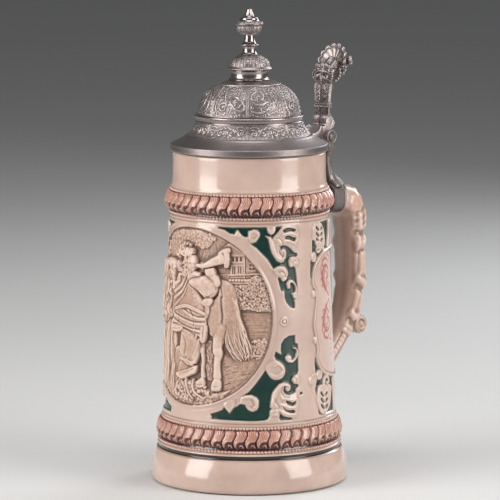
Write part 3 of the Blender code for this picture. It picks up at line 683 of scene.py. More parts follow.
def draw_tree(pic, rng):
    """Tree and bark on the left, standing proud of the wall."""
    trunk = """-33.1,143.1 -27.1,144.6 -18.7,144.3 -15.6,141.8 -17,137 -17.9,131.7 -15.3,126.9
        -15.8,121 -18.6,116 -18.6,110.2 -22.4,105.6 -29.4,102.9 -44,99 -53,104 -56,124 -53,142"""
    w, d = pic.inside(trunk, 0.5)
    U, Z = pic.U[w], pic.Z[w]
    t = np.clip(d / 6.0, 0, 1)
    warp = 2.2 * fbm(U * 0.2, Z * 0.12, 2, 49)
    bark = (fbm(U * 0.55 + warp, Z * 0.16, 3, 41) - 0.5) * 2.6
    bark += 0.9 * (vnoise(U * 0.42 + warp, Z * 0.34, 44) - 0.45)
    pic.put(w, d > 0, 1.0 + 2.5 * (1 - (1 - t) ** 2) ** 0.6 + bark * (0.35 + 0.75 * t))
    scatter(pic, trunk, 150, 0.6, 1.3, 2.6, 1.1, 45, 1.3)
    w, d = pic.inside("""-33.1,104.7 -29.4,104.1 -22.4,106.1 -18.1,105 -16.3,101.4 -14.4,97.1
        -12.8,92.1 -14.9,86.5 -13.3,81 -11.5,76 -12.5,70.1 -10.8,65.1 -9.6,60 -11.7,55.1 -18.3,54.6
        -40,58 -54,60 -56,90""", 0.5)
    U, Z = pic.U[w], pic.Z[w]
    t = np.clip(d / 5.0, 0, 1)
    wood = (fbm(U * 0.7 + 0.6 * np.sin(Z * 0.14), Z * 0.07, 3, 46) - 0.5) * 2.4
    pic.put(w, d > 0, 1.0 + 1.5 * (1 - (1 - t) ** 2) ** 0.6 + wood * (0.4 + 0.9 * t))
    for k in range(7):
        u = rng.uniform(-44, -24)
        pic.cut([(u, 60), (u + rng.uniform(-2, 2), 74), (u + rng.uniform(-2, 2), 88),
                 (u + rng.uniform(-2, 2), 99)], 0.38, 0.55)
    # knot in the bark
    pic.blob(-37.0, 90, 2.1, 3.0, 10, 0.7, 2.4)
    pic.cut(spiral(-37.0, 90, 0.4, 1.9, 0, 540, 30), 0.25, 0.35, curve=False)


def draw_legs(pic):
    """Boots and breeches of the man with the hunting horn."""
    # second leg, in shadow behind the first
    pic.plate("-13.9,88.4 -7.8,88.7 -7.6,81.8 -9.5,72.8 -11.9,63.2 -17.2,60 -18.8,65.6 -15.9,76.5",
              0.9, 2.2, 1.0)
    scatter(pic, "-20.3,66.9 -1,70.3 7.4,69.7 16,65.2 23.9,61.6 16.1,56.8 3.6,54.4 -8.9,54.8 -20,59.5",
            120, 0.6, 1.5, 1.4, 1.1, 61, 1.3)
    scatter(pic, "-26.9,64.7 -13.2,67 -0.9,66.6 2.2,58.5 -8.9,54.8 -19.8,56.3",
            60, 0.5, 1.2, 1.9, 1.0, 62, 1.5)
    for line in ("-1.6,71.8 -0.9,66.6 1.2,61.6 4.9,57.8", "4.7,70.4 4.2,66.2 6.2,62.2 11.3,59.5",
                 "-9.2,67.6 -11,63 -15,58.1"):
        pic.stroke(line, [0.8, 1.0, 0.8, 0.5], 0.8, 2.0)
    pic.plate("-7.6,81.1 -1.5,81.1 4.1,80.4 6.5,78.3 5.6,76.4 -2.2,73.7 -9.7,72.4 -9.9,76.3",
              1.1, 2.5, 1.4)
    pic.plate("-11.4,72.4 -1.4,76.1 6.7,79.5 7.6,77.5 6.5,74.5 1.3,72 -3.8,69.7 -6.7,69.6",
              0.8, 1.5, 2.3)
    pic.cut("-7.4,73.1 -1.3,74.5 4.1,76.9 7,78.4", 0.3, 0.3)
    pic.cut("-7.4,72.4 -5.3,71.1 -3.8,70.1", 0.3, 0.3)
    pic.plate("""-6.1,102.2 3.7,99.3 9.3,96.3 10.1,92.5 8.9,86.6 7.1,81.7 4.1,80.3 -0.7,81.5
        -5.6,82.4 -8.2,88.1 -7.6,95.1""", 1.5, 4.5, 1.9)
    pic.cut("-4.5,97.2 -1.7,92.4 -2.6,86.5", 0.8, 0.3)
    # knotted seams down the breeches
    for seam in ("7.1,98.8 5.9,95 4.5,90.8 2.6,86.4 -0.2,82.6", "8.9,96.1 7.4,91.1 6,87.2 4.9,83.9"):
        pic.stroke(seam, 0.95, 0.35, 2.9)
        for u, z in spline(seam, False, 5):
            pic.blob(u, z, 0.72, 0.55, 20, 0.55, 3.0)
    pic.stroke("-5.7,82.7 -0.7,82 2.8,81 6.1,81.4", [1.1, 1.2, 1.1], 0.7, 2.7)
    pic.stroke("-4.1,82.1 0.2,80.1 4.1,79.7", [0.8, 0.9, 0.8], 0.6, 2.6)


def draw_clothes(pic):
    """Cape behind the shoulder, jacket and skirts of the tunic."""
    pic.plate("""-12,135.3 -5.5,138.1 1.7,138.5 0.8,134.5 -1.4,130.8 -2.1,125.5 -5.1,120.9
        -10.5,115.3 -13.4,110.8 -18.5,109.5 -18.9,117.1 -16,125 -14.4,131.6""", 1.1, 2.6, 1.6)
    # folds of the cape in the front view, top and bottom, each with a groove beside it
    for fold in ("-40.3168,137.17 -46.9972,126.8564", "-39.1448,134.24 -47.3488,122.52",
                 "-39.0276,130.724 -46.9972,117.832", "-39.7308,126.036 -45.9424,115.488",
                 "-43.7156,137.756 -46.6456,131.896"):
        top, bottom = points(fold)
        middle = (top + bottom) / 2 + (0.8204, -1.2892)
        pic.stroke(on_wall(top, middle, bottom), [0.5, 1.1, 1.3], 0.6, [2.5, 2.6, 2.5])
        pic.cut(on_wall(top + (0.9376, -0.8204), middle + (0.9376, -0.8204),
                        bottom + (1.0548, -0.586)), 0.35, 0.4)

    pic.plate("""-2.3,130.6 0.4,133.9 4.6,133.7 7.4,125.3 11,120.8 12.6,116.6 12.1,113.1 6.5,113.1
        -1.7,114.9 -11.2,113.3 -12.9,115.2 -5.5,122.1 -2.5,126.9""", 1.3, 3.6, 2.1)
    pic.plate("""-12.8,113.5 -2.3,115.7 6.2,114.1 13.3,112 14,107.6 13.8,103 11.8,97.6 9.4,96.7
        4.5,99.2 -3.2,101.7 -14.3,101.2 -18.2,102.9""", 1.4, 3.0, 2.1)
    for fold in ("-14.3,111.2 -3.4,108.6 5.4,107.2 12.6,107.5",
                 "-15.6,107.9 -5,104.6 4.1,102.9 12.5,102.8",
                 "-15.9,104.2 -6.7,102.9 2.8,100.8 11.5,99.6",
                 "-4.2,114.4 2,112.1 7,110.7 12.4,110.6",
                 "0.2,115.1 4,110.4 4.9,104.2", "-8.7,112.1 -8.6,106.9 -10.7,102.4"):
        pic.cut(fold, 0.5, 0.5)
        pic.cut(points(fold) + (0.2, -1.3), 0.7, -0.25)
    pic.cut("-15.5,102.1 -4.6,102.7 4,100.5 9.7,97.4", 0.32, 0.4)
    pic.cut("-14.4,103.5 -4.1,103.9 4.6,101.9 10.9,98.6", 0.32, 0.35)
    belt = "-12.4,113.7 -2.3,116.5 5.7,114.9 12.8,112.5"
    pic.stroke(belt, [1.0, 1.25, 1.25, 1.0], 0.7, 3.2)
    pic.cut(belt, 0.25, 0.3)
    for k in range(6):                                   # buttons
        pic.blob(*on_wall((-36.0976 + 0.5274 * k, 131.1928 - 2.5784 * k))[0],
                 0.55, 0.55, 0, 0.45, 3.35)
    pic.plate("-18.2,102.3 -11.4,104.3 -5.4,103.3 -5.3,100.7 -10.3,98.7 -16.2,99", 1.2, 1.8, 2.7)
    pic.cut("-15.5,100.7 -10.4,101 -6.1,102.2", 0.3, 0.35)
    pic.plate("9.9,104.8 14.3,105.7 14.1,98.8 13.1,95 10.6,94 9.1,97.8", 1.2, 1.6, 2.5)
    pic.cut("12.2,104.6 12,99.6 11.5,94.8", 0.35, 0.4)
    pic.cut("13.5,104.7 13.3,99.7 12.6,95.6", 0.3, 0.25)


def draw_arm(pic, rng):
    """Ruffled cuff with a tassel, puffed sleeve, forearm."""
    for k in range(7):
        a = math.radians(200 + 160 * k / 6.0)
        spot = on_wall((-26.8388 + 2.5784 * math.cos(a), 119.8244 + 1.9924 * math.sin(a)))[0]
        pic.blob(*spot, 1.25, 1.0, 0, 0.8, 2.7)
    pic.plate("11.4,122.1 17,123.1 17.7,119.8 15.6,117.2 12.9,116.9 11.1,119.1", 1.0, 2.2, 2.5)
    pic.stroke("14.2,117.3 14,114.4 13.5,111", [1.7, 2.1, 1.2], 0.9, 2.4)
    for k in range(4):
        pic.cut(on_wall((-27.6592 + 0.5274 * k, 115.7224), (-28.0108 + 0.5274 * k, 110.8)),
                0.22, 0.3)

    pic.plate("""-0.3,134.2 4.9,136.3 11.5,136.5 17.6,136.1 21.1,133.8 21.8,130.1 20.7,126.3
        17.3,123.1 12.2,122.7 9.4,124.6 6.7,126.5 2.5,128 -0.5,130.4""",
              2.7, 6.0, 2.0, power=0.55)
    for crease in ("-37.1957,130.956 -32.9049,127.3088 -29.2576,123.6616",
                   "-28.8286,124.0907 -25.6104,123.2325 -22.1777,125.3779",
                   "-23.465,134.6033 -21.105,131.3851 -20.8905,127.7379"):
        pic.cut(on_wall(*points(crease)), 0.5, 0.35)
    pic.stroke("0,134.7 3.5,136.7 8.4,137.3", [1.4, 1.8, 1.2], 0.8, 3.2)

    pic.stroke("20.4,132.5 19.4,134.8 17.1,137", [2.6, 2.5, 2.2], 1.2, 3.0)
    spots = points("16.1,139.8 18.3,138.2 20.1,136.7")
    for k in range(9):
        u, z = spots[k % 3]
        curl(pic, u + rng.uniform(-0.9, 0.9), z + rng.uniform(-0.9, 0.9), rng.uniform(0.7, 1.0),
             rng.uniform(0, 360), 400, 3.3, 0.7)


def draw_horn(pic):
    """Hunting horn and the hand round it."""
    pic.stroke("6.9,142.7 11.7,143 16.4,144.9 20.2,146.5 24.3,148", [1.15, 1.7, 2.3, 2.8, 3.4],
               [1.1, 1.4, 1.6, 1.7], 2.7)
    pic.stroke("23.3,150.4 25.8,152.2 27.8,153.4", [2.4, 2.4, 1.6], 1.0, 2.1)
    pic.plate("24.5,153.1 26.9,153.9 28.4,151.8 28.8,147.2 28.1,143.2 26.5,142.2 25.5,145.4 "
              "25.1,149.9", 1.9, 2.0, 2.3)
    pic.cut("27.5,152.3 28.1,147.8 27.3,143.4", 0.5, 0.55)
    pic.stroke("25.8,152.7 26.9,148.3 26.2,143.1", [0.6, 0.7, 0.6], 0.5, 4.0)
    for k in range(3):                                   # rings round the horn
        across, height = -29.7688 + 5.86 * k, 143.1472 + 2.1096 * k
        pic.stroke(on_wall((across, height + 1.9924), (across + 0.586, height - 1.9924)),
                   0.55, 0.5, 4.0)
    pic.cut(spiral(*on_wall((-20.8616, 146.4288))[0], 0.3, 1.7, 0, 420, 26), 0.3, 0.4,
            curve=False)
    pic.blob(16.8, 138.7, 3.1, 2.7, -20, 1.2, 3.3)
    for k in range(4):                                   # fingers
        across = -26.956 + 1.4064 * k
        pic.stroke(on_wall((across, 140.3344 + 0.293 * k), (across + 0.4688, 138.8108 + 0.293 * k),
                           (across + 0.8204, 137.2872 + 0.3516 * k)),
                   [0.85, 0.95, 0.8], 0.7, 4.0)


def draw_head(pic, rng):
    """Oval face in three-quarter view with curls and a hat."""
    head_u, head_z = 1.6, 143.7
    half_wide, half_high = 4.2, 5.6

    def at_head(text):
        return points(text) + (head_u, head_z)

    pic.plate("-1.9,138.1 2.4,139 6.1,138.9 5.4,136.1 0.8,135.4", 1.1, 1.6, 2.4)   # neck
    pic.blob(head_u + 0.4, head_z, half_wide, half_high, -6, 1.9, 2.5)
    pic.blob(head_u + 0.8, head_z - 3.1, 2.5, 2.4, 0, 0.6, 3.3)                    # jaw
    pic.stroke(at_head("-1.8,0.9 0.6,1.3 3.2,0.9"), 0.55, 0.4, 4.1)                # brow
    pic.stroke(at_head("1.7,0.7 2.2,-0.5 2.5,-1.4"), [0.45, 0.6, 0.8], 0.6, 4.1)   # nose
    for side, wide in ((-0.4, 0.75), (3.2, 0.5)):                                  # eyes
        u = head_u + side
        pic.cut([(u - wide, head_z + 0.05), (u, head_z + 0.3), (u + wide, head_z + 0.05)],
                0.32, 0.5)
        pic.blob(u, head_z + 0.05, wide * 0.7, 0.36, 0, 0.3, 4.15)
    pic.cut(at_head("0.9,-2.5 2,-2.65 3,-2.5"), 0.26, 0.4)                         # mouth
    pic.stroke(at_head("1.1,-3 2,-3.15 2.8,-3"), 0.4, 0.3, 4.0)
    for k in range(40):
        a = math.radians(95 + 200 * (k / 39.0))
        reach = rng.uniform(0.86, 1.5)
        curl(pic, head_u - 0.4 + math.cos(a) * half_wide * reach,
             head_z - 0.2 + math.sin(a) * half_high * reach * 0.92,
             rng.uniform(0.75, 1.15), rng.uniform(0, 360), 300 + rng.uniform(0, 200),
             2.9 + 0.5 * rng.uniform(0, 1), 0.7)
    for k in range(16):
        curl(pic, head_u - 5.2 + rng.uniform(-2.4, 2.0), head_z - 5.5 + rng.uniform(-3.2, 2.5),
             rng.uniform(0.8, 1.2), rng.uniform(0, 360), 360, 2.4, 0.8)
    hat = points("""-10.2,148.7 -8.8,151 -5.6,152.6 -1.3,153.4 2.1,152.7 3.8,151.2 3.3,149.7
        0.7,148.7 -2.1,148.2 -5.8,147.5""")
    pic.plate(hat, 0.9, 3.0, 2.6)
    for k in range(48):
        u, z = hat[k % len(hat)] * (1 - k / 44.0) + hat.mean(0) * (k / 44.0)
        turn = rng.uniform(20, 160)
        pic.blob(u + rng.uniform(-0.6, 0.6), z + rng.uniform(-0.6, 0.6), rng.uniform(1.1, 1.7),
                 rng.uniform(0.5, 0.75), turn, 0.75, 3.3 + rng.uniform(0, 0.5))
    plume = points("-10,152.9 -7.7,154.4 -5.3,155.8 -2.9,155.4 -0.7,155.4")
    for k in range(10):
        u, z = plume[k % 5]
        pic.blob(u + rng.uniform(-1, 1), z + rng.uniform(-0.8, 0.8), 1.3, 0.6,
                 rng.uniform(60, 160), 0.7, 2.4)
    hair = points("-11.8,146.6 -9.7,143.7 -11.6,140.3 -7.7,138.7 -9.4,135.3 -4.8,136.9")
    for k in range(30):
        u, z = hair[k % 6]
        curl(pic, u + rng.uniform(-1.6, 1.6), z + rng.uniform(-1.6, 1.6), rng.uniform(0.8, 1.2),
             rng.uniform(0, 360), 380, 2.5 + 0.4 * rng.uniform(), 0.8)


def build_picture():
    pic = Sheet(-58, 58, 52, 168, 0.2)
    U, Z = pic.U, pic.Z
    rng = np.random.default_rng(5)
    pic.h += 0.16 * fbm(U * 0.22, Z * 0.22, 3, 2) + 0.07 * fbm(U * 1.3, Z * 1.3, 2, 8)
    draw_foliage(pic, rng)
    draw_house(pic)
    draw_fields(pic, rng)
    draw_ground(pic)
    draw_horse(pic, rng)
    draw_tree(pic, rng)
    draw_legs(pic)
    draw_clothes(pic)
    draw_arm(pic, rng)
    draw_horn(pic)
    draw_head(pic, rng)
    pic.h = blur(pic.h, 0.6)
    pic.h += (0.16 * (fbm(U * 0.9, Z * 0.9, 3, 91) - 0.5)
              + 0.26 * (fbm(U * 0.35, Z * 0.3, 2, 95) - 0.5))
    # hollow mask: brown stain and painted shade in the crevices, painted highlight on the raised forms
    pic.hollow = np.clip(0.85 * (blur(pic.h, 2.2) - pic.h) / 0.22
                         + 0.9 * (blur(pic.h, 6) - pic.h) / 0.55
                         + 0.5 * (blur(pic.h, 18) - pic.h) / 1.2, -1, 1)
    return pic


# --------------------------------------------- ornament beside the picture
class Ornament(Sheet):
    """Sheet with colour masks for the green ground and the red flourish."""

    def __init__(self, *extent):
        super().__init__(*extent)
        self.green = np.zeros_like(self.h)
        self.red = np.zeros_like(self.h)
        self.lift = np.zeros_like(self.h)      # ornament shapes in relief

    def ground(self, pts):
        """Green patch, straight-edged."""
        w, d = self.inside(pts, curve=False)
        self.green[w] = np.maximum(self.green[w], edge_mask(d, 0.22))

    def clear(self, w, d):
        self.green[w] = np.minimum(self.green[w], 1 - edge_mask(d, 0.22))

    def raise_to(self, w, value):
        self.lift[w] = np.maximum(self.lift[w], value)

    def swell(self, pts, h, bevel, curve=True, power=0.8, bare=False):
        """Soft swelling inside an outline; bare also clears the green."""
        w, d = self.inside(pts, curve=curve)
        if bare:
            self.clear(w, d)
        t = np.clip(d / bevel, 0, 1)
        self.raise_to(w, np.where(d > 0, h * (1 - (1 - t) ** 2) ** power, 0))

    def form(self, pts, h, bevel, curve=True):
        """Raised shape that also clears the green."""
        self.swell(pts, h, bevel, curve, 0.6, True)

    def rope(self, pts, radii, h, curve=True):
        """Raised bar that also clears the green."""
        p = spline(pts) if curve else points(pts)
        w, d, f = self.line_dist(p, np.max(radii) + 1.0)
        r = along(f, radii)
        t = np.clip(1 - (d / np.maximum(r, 1e-3)) ** 2, 0, 1)
        self.clear(w, r - d)
        self.raise_to(w, np.where(d < r, h * t ** 0.5, 0))

    def ridge(self, pts, radii, h):
        """Rounded ridge added on top of a shape."""
        w, d, f = self.line_dist(spline(pts), np.max(radii) + 1.0)
        r = along(f, radii)
        t = np.clip(1 - (d / np.maximum(r, 1e-3)) ** 2, 0, 1)
        self.lift[w] += np.where(d < r, h * t, 0)

    def knob(self, u, z, r, h, rz=None, add=False):
        rz = rz or r
        w = self.window([(u, z)], np.array([r + 1, rz + 1]))
        q = np.hypot((self.U[w] - u) / r, (self.Z[w] - z) / rz)
        if add:
            self.lift[w] += np.where(q < 1, h * (1 - q * q), 0)
            return
        self.clear(w, (1 - q) * min(r, rz))
        self.raise_to(w, np.where(q < 1, h * np.clip(1 - q * q, 0, 1) ** 0.5, 0))

    def slot(self, pts):
        """Opening inside a shape through which the ground shows."""
        w, d = self.inside(pts)
        mask = edge_mask(d, 0.22)
        self.green[w] = np.maximum(self.green[w], mask)
        self.lift[w] *= 1 - mask

    def vein(self, pts, width, depth):
        w, d, _ = self.line_dist(spline(pts), width * 2.5)
        self.lift[w] -= depth * np.exp(-(d / width) ** 2)

    def paint(self, pts, radii):
        """Red brush stroke."""
        w, d, f = self.line_dist(spline(pts), np.max(radii) + 0.8)
        self.red[w] = np.maximum(self.red[w], edge_mask(along(f, radii) - d, 0.16))


def draw_upper_spandrel(orn):
    orn.ground("""20.7,168.4 25.4,168 31,167.8 35.7,168.3 41.2,168.7 46.6,169.1 52.5,169.1
        53,166.6 53.7,164.3 55.5,162.9 57.5,163.6 58.7,165.7 58.9,168.7 59.8,170 62.8,170.4
        71.9,170.3 71.2,169.8 66.6,169.5 63.6,168.5 62.1,166.7 60.2,164.7 57.9,162.3 56.3,160.6
        55.5,161.8 53.7,162.2 51.7,162.5 53.7,160.5 54.4,157.8 55,154.8 56,151.7 57.6,149
        59.6,146.2 62.1,145.1 64.2,145.6 66,148.2 66.4,150.8 66,153.1 64.3,154.4 62.8,154
        62.2,152.6 62,154.5 61.8,155.6 63.9,156.1 66.9,155.4 69.1,153.9 70.9,151.9 72.8,150.9
        74.3,150.6 74.4,148.9 73.2,148.4 70.9,149 68.6,148.4 67.5,146.5 67.9,143.4 69,141.7
        71.3,142.4 72.9,141.2 73.3,138.5 73.7,134.6 74,130.7 73.9,121.9 71.4,121.4 72.1,119.4
        71.8,116 70.5,116.1 68.3,117.4 66.1,119.9 64.9,123 64.7,126.1 64.5,127.4 63.6,127.7
        62.4,127.2 61.6,129.7 60.8,132.4 60.2,135.5 60.6,136.1 61.8,135.8 62.8,133.8 63.7,133.2
        65.8,134 67.2,136.6 67.5,138.9 66.8,140.8 65.1,142.9 62.5,143.6 60,143.1 57.2,141.6
        56,143.3 53.2,147.6 49.7,151.1 45.8,155 41.9,157.7 43.5,158 45.8,158.8 48.1,162.2
        48.3,164.1 46.6,166.4 44.3,166.8 41.2,165.7 40.6,164.1 41,162.2 38.8,161.8 36.5,163
        34.9,164.8 33.9,166.3 32.6,165 32,163.5 28.6,163.9 25,166.1 20.7,167""")
    orn.form("32,163.3 33,165.2 33.9,166.3 35.1,164.5 36.5,162.8 34.9,161.4 33,161.8",
             0.45, 1.6, curve=False)
    # two buds near the top edge
    orn.swell("""41.2,165.5 44.3,166.7 46.8,166.2 48.3,164 48.1,162.1 45.8,158.9 43.5,158.1
        41.5,159.6 40.6,162.6""", 0.75, 2.0)
    orn.ridge("41.7,165.1 44.3,165.8 46.6,164.9 47.2,163 46.2,160.7 44.3,159.4",
              [0.6, 0.9, 1.0, 0.9, 0.5], 0.45)
    orn.vein("42.7,161.5 44.6,161.3 46.2,162.6", 0.5, 0.25)
    orn.swell("53.3,169.7 58.2,169.5 58.8,166.4 57.9,164.2 55.5,163 53.7,164.3 53,166.6", 0.8, 1.9)
    orn.knob(55.5, 165.3, 2.5, 0.35, 2.5, add=True)
    orn.vein("53.7,167.8 55.5,167.2 57.9,167.7", 0.5, 0.35)
    # large leaf with a scrolled stem
    orn.swell("""51.8,162.4 53.7,162.2 55.5,161.8 56.3,160.6 57.9,162.3 60.2,164.5 62.1,166.6
        63.6,168.4 66.6,169.5 71.2,169.6 74,167.1 75.6,163.5 75.6,158.9 73.8,155.6 71.4,151.6
        69.1,154.1 66.9,155.5 63.9,156.2 61.6,155.6 62.6,154 64.3,154.4 66,153.1 66.4,150.8
        66,148.2 64.2,145.6 62.1,145.2 59.6,146.2 57.6,149 56,151.7 55,154.8 54.4,157.8
        53.7,160.5""", 0.5, 2.2)
    orn.ridge("""52.5,162.1 54.7,160.5 55.6,157.4 56.4,154 58,150.5 60.1,148.1 62.5,147.6 64.3,149
        64.7,151.1 63.7,152.7 62.4,152.4 62.6,151""",
              [0.5, 1.1, 1.7, 1.9, 1.9, 1.6, 1.2, 0.9, 0.7, 0.6, 0.6], 0.6)
    orn.vein("60.9,155.7 61,153 61.7,150.7 63.4,149.5", 0.45, 0.5)
    orn.ridge("61,164 62.7,166.8 65.3,168.4 68.4,168.7 71.6,168 73.7,165.9 74.4,162.8",
              [0.6, 1.1, 1.2, 1.2, 1.1, 1.0, 0.7], 0.55)
    orn.ridge("63.1,163 65.7,163.3 68.8,163.6 71.5,163 73.9,161.4", [0.6, 1.0, 1.1, 1.0, 0.7], 0.5)
    orn.ridge("63.5,158.2 66.1,159.1 69.2,158.4 71.9,157.1 73.8,155.6",
              [0.6, 1.1, 1.2, 1.0, 0.6], 0.5)
    orn.vein("57.9,161.1 60.2,161 62.2,159.4 63.5,157.1", 0.6, 0.3)
    orn.slot("63.8,165.4 65.3,166.4 67.9,166.9 71.1,166.2 72.8,165.6 72,164.5 69.3,165 66.6,164.7 "
             "64.8,164.1")
    orn.slot("65,161 67,161.9 69.2,161.6 71.5,160.6 73,160.6 72.5,158.8 71,158.6 68.3,159.8 "
             "66.1,160.1")
    # lower buds and the hook under them
    orn.swell("""67.8,146.5 68.6,148.4 70.9,148.9 73.5,148 75.3,145.9 75.3,143.3 72.7,142.3
        71.3,142.4 69.1,141.7 68,143.4""", 0.7, 1.6)
    orn.ridge(spiral(71.8, 145.7, 2.6, 0.6, 160, -200, 30), [0.8, 0.8, 0.6], 0.45)
    orn.swell("""56.7,141.4 60,143.1 62.5,143.5 65.1,142.9 66.8,140.8 67.5,138.9 67.2,136.6
        65.8,134 63.7,133.2 62.8,133.8 61.8,135.8 60,136.5 57.9,138.3""", 0.7, 2.0)
    orn.ridge("57.1,141 59.6,142 62.5,141.9 64.6,140.2 65,137.9", [0.8, 1.2, 1.3, 1.1, 0.6], 0.45)
    orn.vein("60,139.3 62.5,139.6 64.6,138.3 65.2,136.4", 0.5, 0.4)
    orn.vein("62.4,135.8 64.1,136.4 66.3,136.1", 0.5, 0.3)
    orn.rope("67.6,129.7 67.3,131.8 68.7,133.3 70.7,132.7 72.3,130.7 73,128.1 72.7,126.1 "
             "71.3,124.8 71.2,123.3", [1.3, 1.3, 1.2, 0.9, 0.7, 0.7, 0.8, 0.9, 0.8], 0.95)
    orn.form("69.7,125.7 74.1,125.4 74,121.9 71.5,122.1 70.6,123.7", 0.35, 0.8)


def draw_lower_spandrel(orn):
    orn.ground("""71.7,99 67.5,98.8 63.9,96.9 61.9,94 61.5,90.2 62.2,87.3 59.7,88.4 58.1,89.5
        57.1,86.5 58.8,83.6 54.3,81.5 52.3,77.5 51.3,77.9 47.1,71.9 43.8,67.7 40.9,64.3 37.4,61.9
        38.9,62.4 43,62.6 45.9,60.9 47.3,58.7 47.1,54.9 45.8,52.8 43.4,51.8 40.9,52.8 39.3,55
        38.9,56.2 37.2,56.6 35.6,56.6 33.9,55.3 31.8,54 30.6,52.2 29.3,50.5 28.1,51.9 26.3,54.1
        25.7,54.3 25.1,52.8 22,51.3 17.1,49.5 18,48 17.8,46.5 22.1,46.4 26.4,46.3 32.7,46.1
        40.5,45.8 47.1,45.8 50.8,46.1 52.9,47.1 53.9,48.7 53.7,50.4 54.8,52 55.4,52.9 55,53.8
        54,54.3 54.4,57.6 55.1,60.2 55.9,63.5 57.7,66.4 59.9,68.8 63,69.9 66,69.4 67.9,67.4
        67.7,64.8 65.9,63.5 64.3,64.3 63.7,66 64.4,67.2 63,66.9 62.7,64.4 63.9,62.6 66.2,61.6
        69,62.2 70.9,62.8 71.2,64.9 73.2,66.4 73.3,67.5 70,68.2 68.6,70.3 69.1,72 70.6,73.5
        72.6,74.2 73.6,76.6 73.5,79.2 73.7,93.1 71.7,94.1""")
    bud = """51.5,78.1 53.9,73.8 56,72 58.1,71.5 60.8,71.8 63,73.3 64.4,76.2 64,79.6 61.3,82.7
        57.8,84.2 53.9,83.1 51.3,80.7"""
    orn.swell(bud, 0.75, 2.6, bare=True)
    orn.ridge("53.9,75.5 57.7,74 61.7,75.9 62.2,79.3 59.5,81.6 56.9,80.5",
              [0.8, 1.3, 1.4, 1.2, 0.9, 0.6], 0.45)
    orn.vein("61.3,78.1 62.6,76.3 62.2,74.2", 0.5, 0.35)
    orn.knob(66.7, 84.7, 2.2, 0.85, 2.3)
    orn.rope("66.5,83.1 69.2,82.7 71.7,84.8 73,87.6 72.4,90.1 70.6,91",
             [1.1, 1.0, 0.9, 0.8, 0.6, 0.6], 0.9)
    orn.swell("""37.4,61.9 38.9,62.4 43,62.6 45.9,60.9 47.3,58.7 47.1,54.9 45.8,52.8 43.4,51.8
        40.9,52.8 39.3,55 38.9,56.2 37.2,56.6 35.6,57 36,60""", 0.7, 2.0)
    orn.ridge("37.2,60.5 40.5,61.3 43.8,60.9 45.6,58.8 45.6,55.8 43.8,54.1",
              [0.7, 1.1, 1.3, 1.2, 1.0, 0.6], 0.45)
    orn.vein("42.6,59.6 43.6,57.1 43.2,54.5", 0.5, 0.35)
    orn.vein("39.7,55.4 42.1,55.2 44.6,53.2", 0.5, 0.3)
    orn.swell("25.7,55 26.7,58 29.3,59.8 31.8,59.1 32.9,56.1 31.8,54 30.6,52.2 29.3,50.5 28.1,51.9",
              0.5, 1.5)
    orn.vein("33.5,59.5 33.5,57 32.3,55", 0.6, 0.35)
    # large leaf with a scrolled stem
    orn.swell("""54,54.3 54.4,57.6 55.1,60.2 55.9,63.5 57.7,66.4 59.9,68.8 63,69.9 66,69.4
        67.9,67.4 67.7,64.8 65.9,63.5 64.3,64.3 63.4,62.6 66.2,61.6 69,62.1 72.4,60.6 73.3,56.2
        72.3,51.2 71.2,47.4 67.4,46.1 60.6,46.2 60.2,50.5 58,53.2 55.4,52.9""", 0.5, 2.2)
    orn.ridge("""54.8,55.1 55.7,58.9 56.8,62.2 58.5,65.5 60.8,67.5 63.9,68.3 66.2,66.9 66.2,65
        65,64.8 64.8,65.9""", [0.6, 1.2, 1.8, 2.0, 1.8, 1.2, 0.9, 0.8, 0.7, 0.6], 0.6)
    orn.vein("62.1,67 61.2,63.6 62.9,61 66.1,60.1", 0.5, 0.45)
    for rib in ("61.1,59.4 64.3,59.4 68,58.4 71.4,58.5", "60.2,56 63.3,55 66.5,53.6 70.3,53.5",
                "59.3,52.7 62,50.8 65.6,49.3 69.8,49.1"):
        orn.ridge(rib, [0.6, 1.1, 1.1, 0.7], 0.5)
    orn.vein("57.2,59.6 58,56.6 59.8,53.9", 0.7, 0.35)
    orn.slot("64.4,57.9 66.6,57.3 68.9,56.4 70.9,57.2 70.5,55.6 68.9,54.6 66.5,55.3 64.9,56.5")
    orn.slot("62.1,54.3 64.2,52.3 66.5,51.7 69.4,51.6 70.2,50.5 68.4,50 66,50.8 63.8,51.9")
    orn.slot("60.5,49.9 61.9,48.7 64.2,47.7 68.1,46.7 67,45.8 63.3,45.9 60.1,46.4")
    orn.knob(56.9, 51.1, 3.0, 0.85, 2.6)
    orn.vein("54.2,50.4 56.9,51.1 59.7,50.1", 0.5, 0.35)
    orn.swell("69.1,73.2 72.6,74.2 74.1,71.9 74,68.9 70.5,68.2 68.6,70.3", 0.65, 1.3)
    orn.vein("70.1,71.9 71.5,70.9 71.3,69.2", 0.45, 0.35)
    orn.slot("74.2,61.7 75.5,62.6 76.4,61.8 75.2,61")


PANEL_U = 117.0                # middle of the side panel


def both(pts):
    """A shape and its mirror image about the middle of the panel."""
    p = points(pts)
    return p, p * [-1, 1] + [2 * PANEL_U, 0]


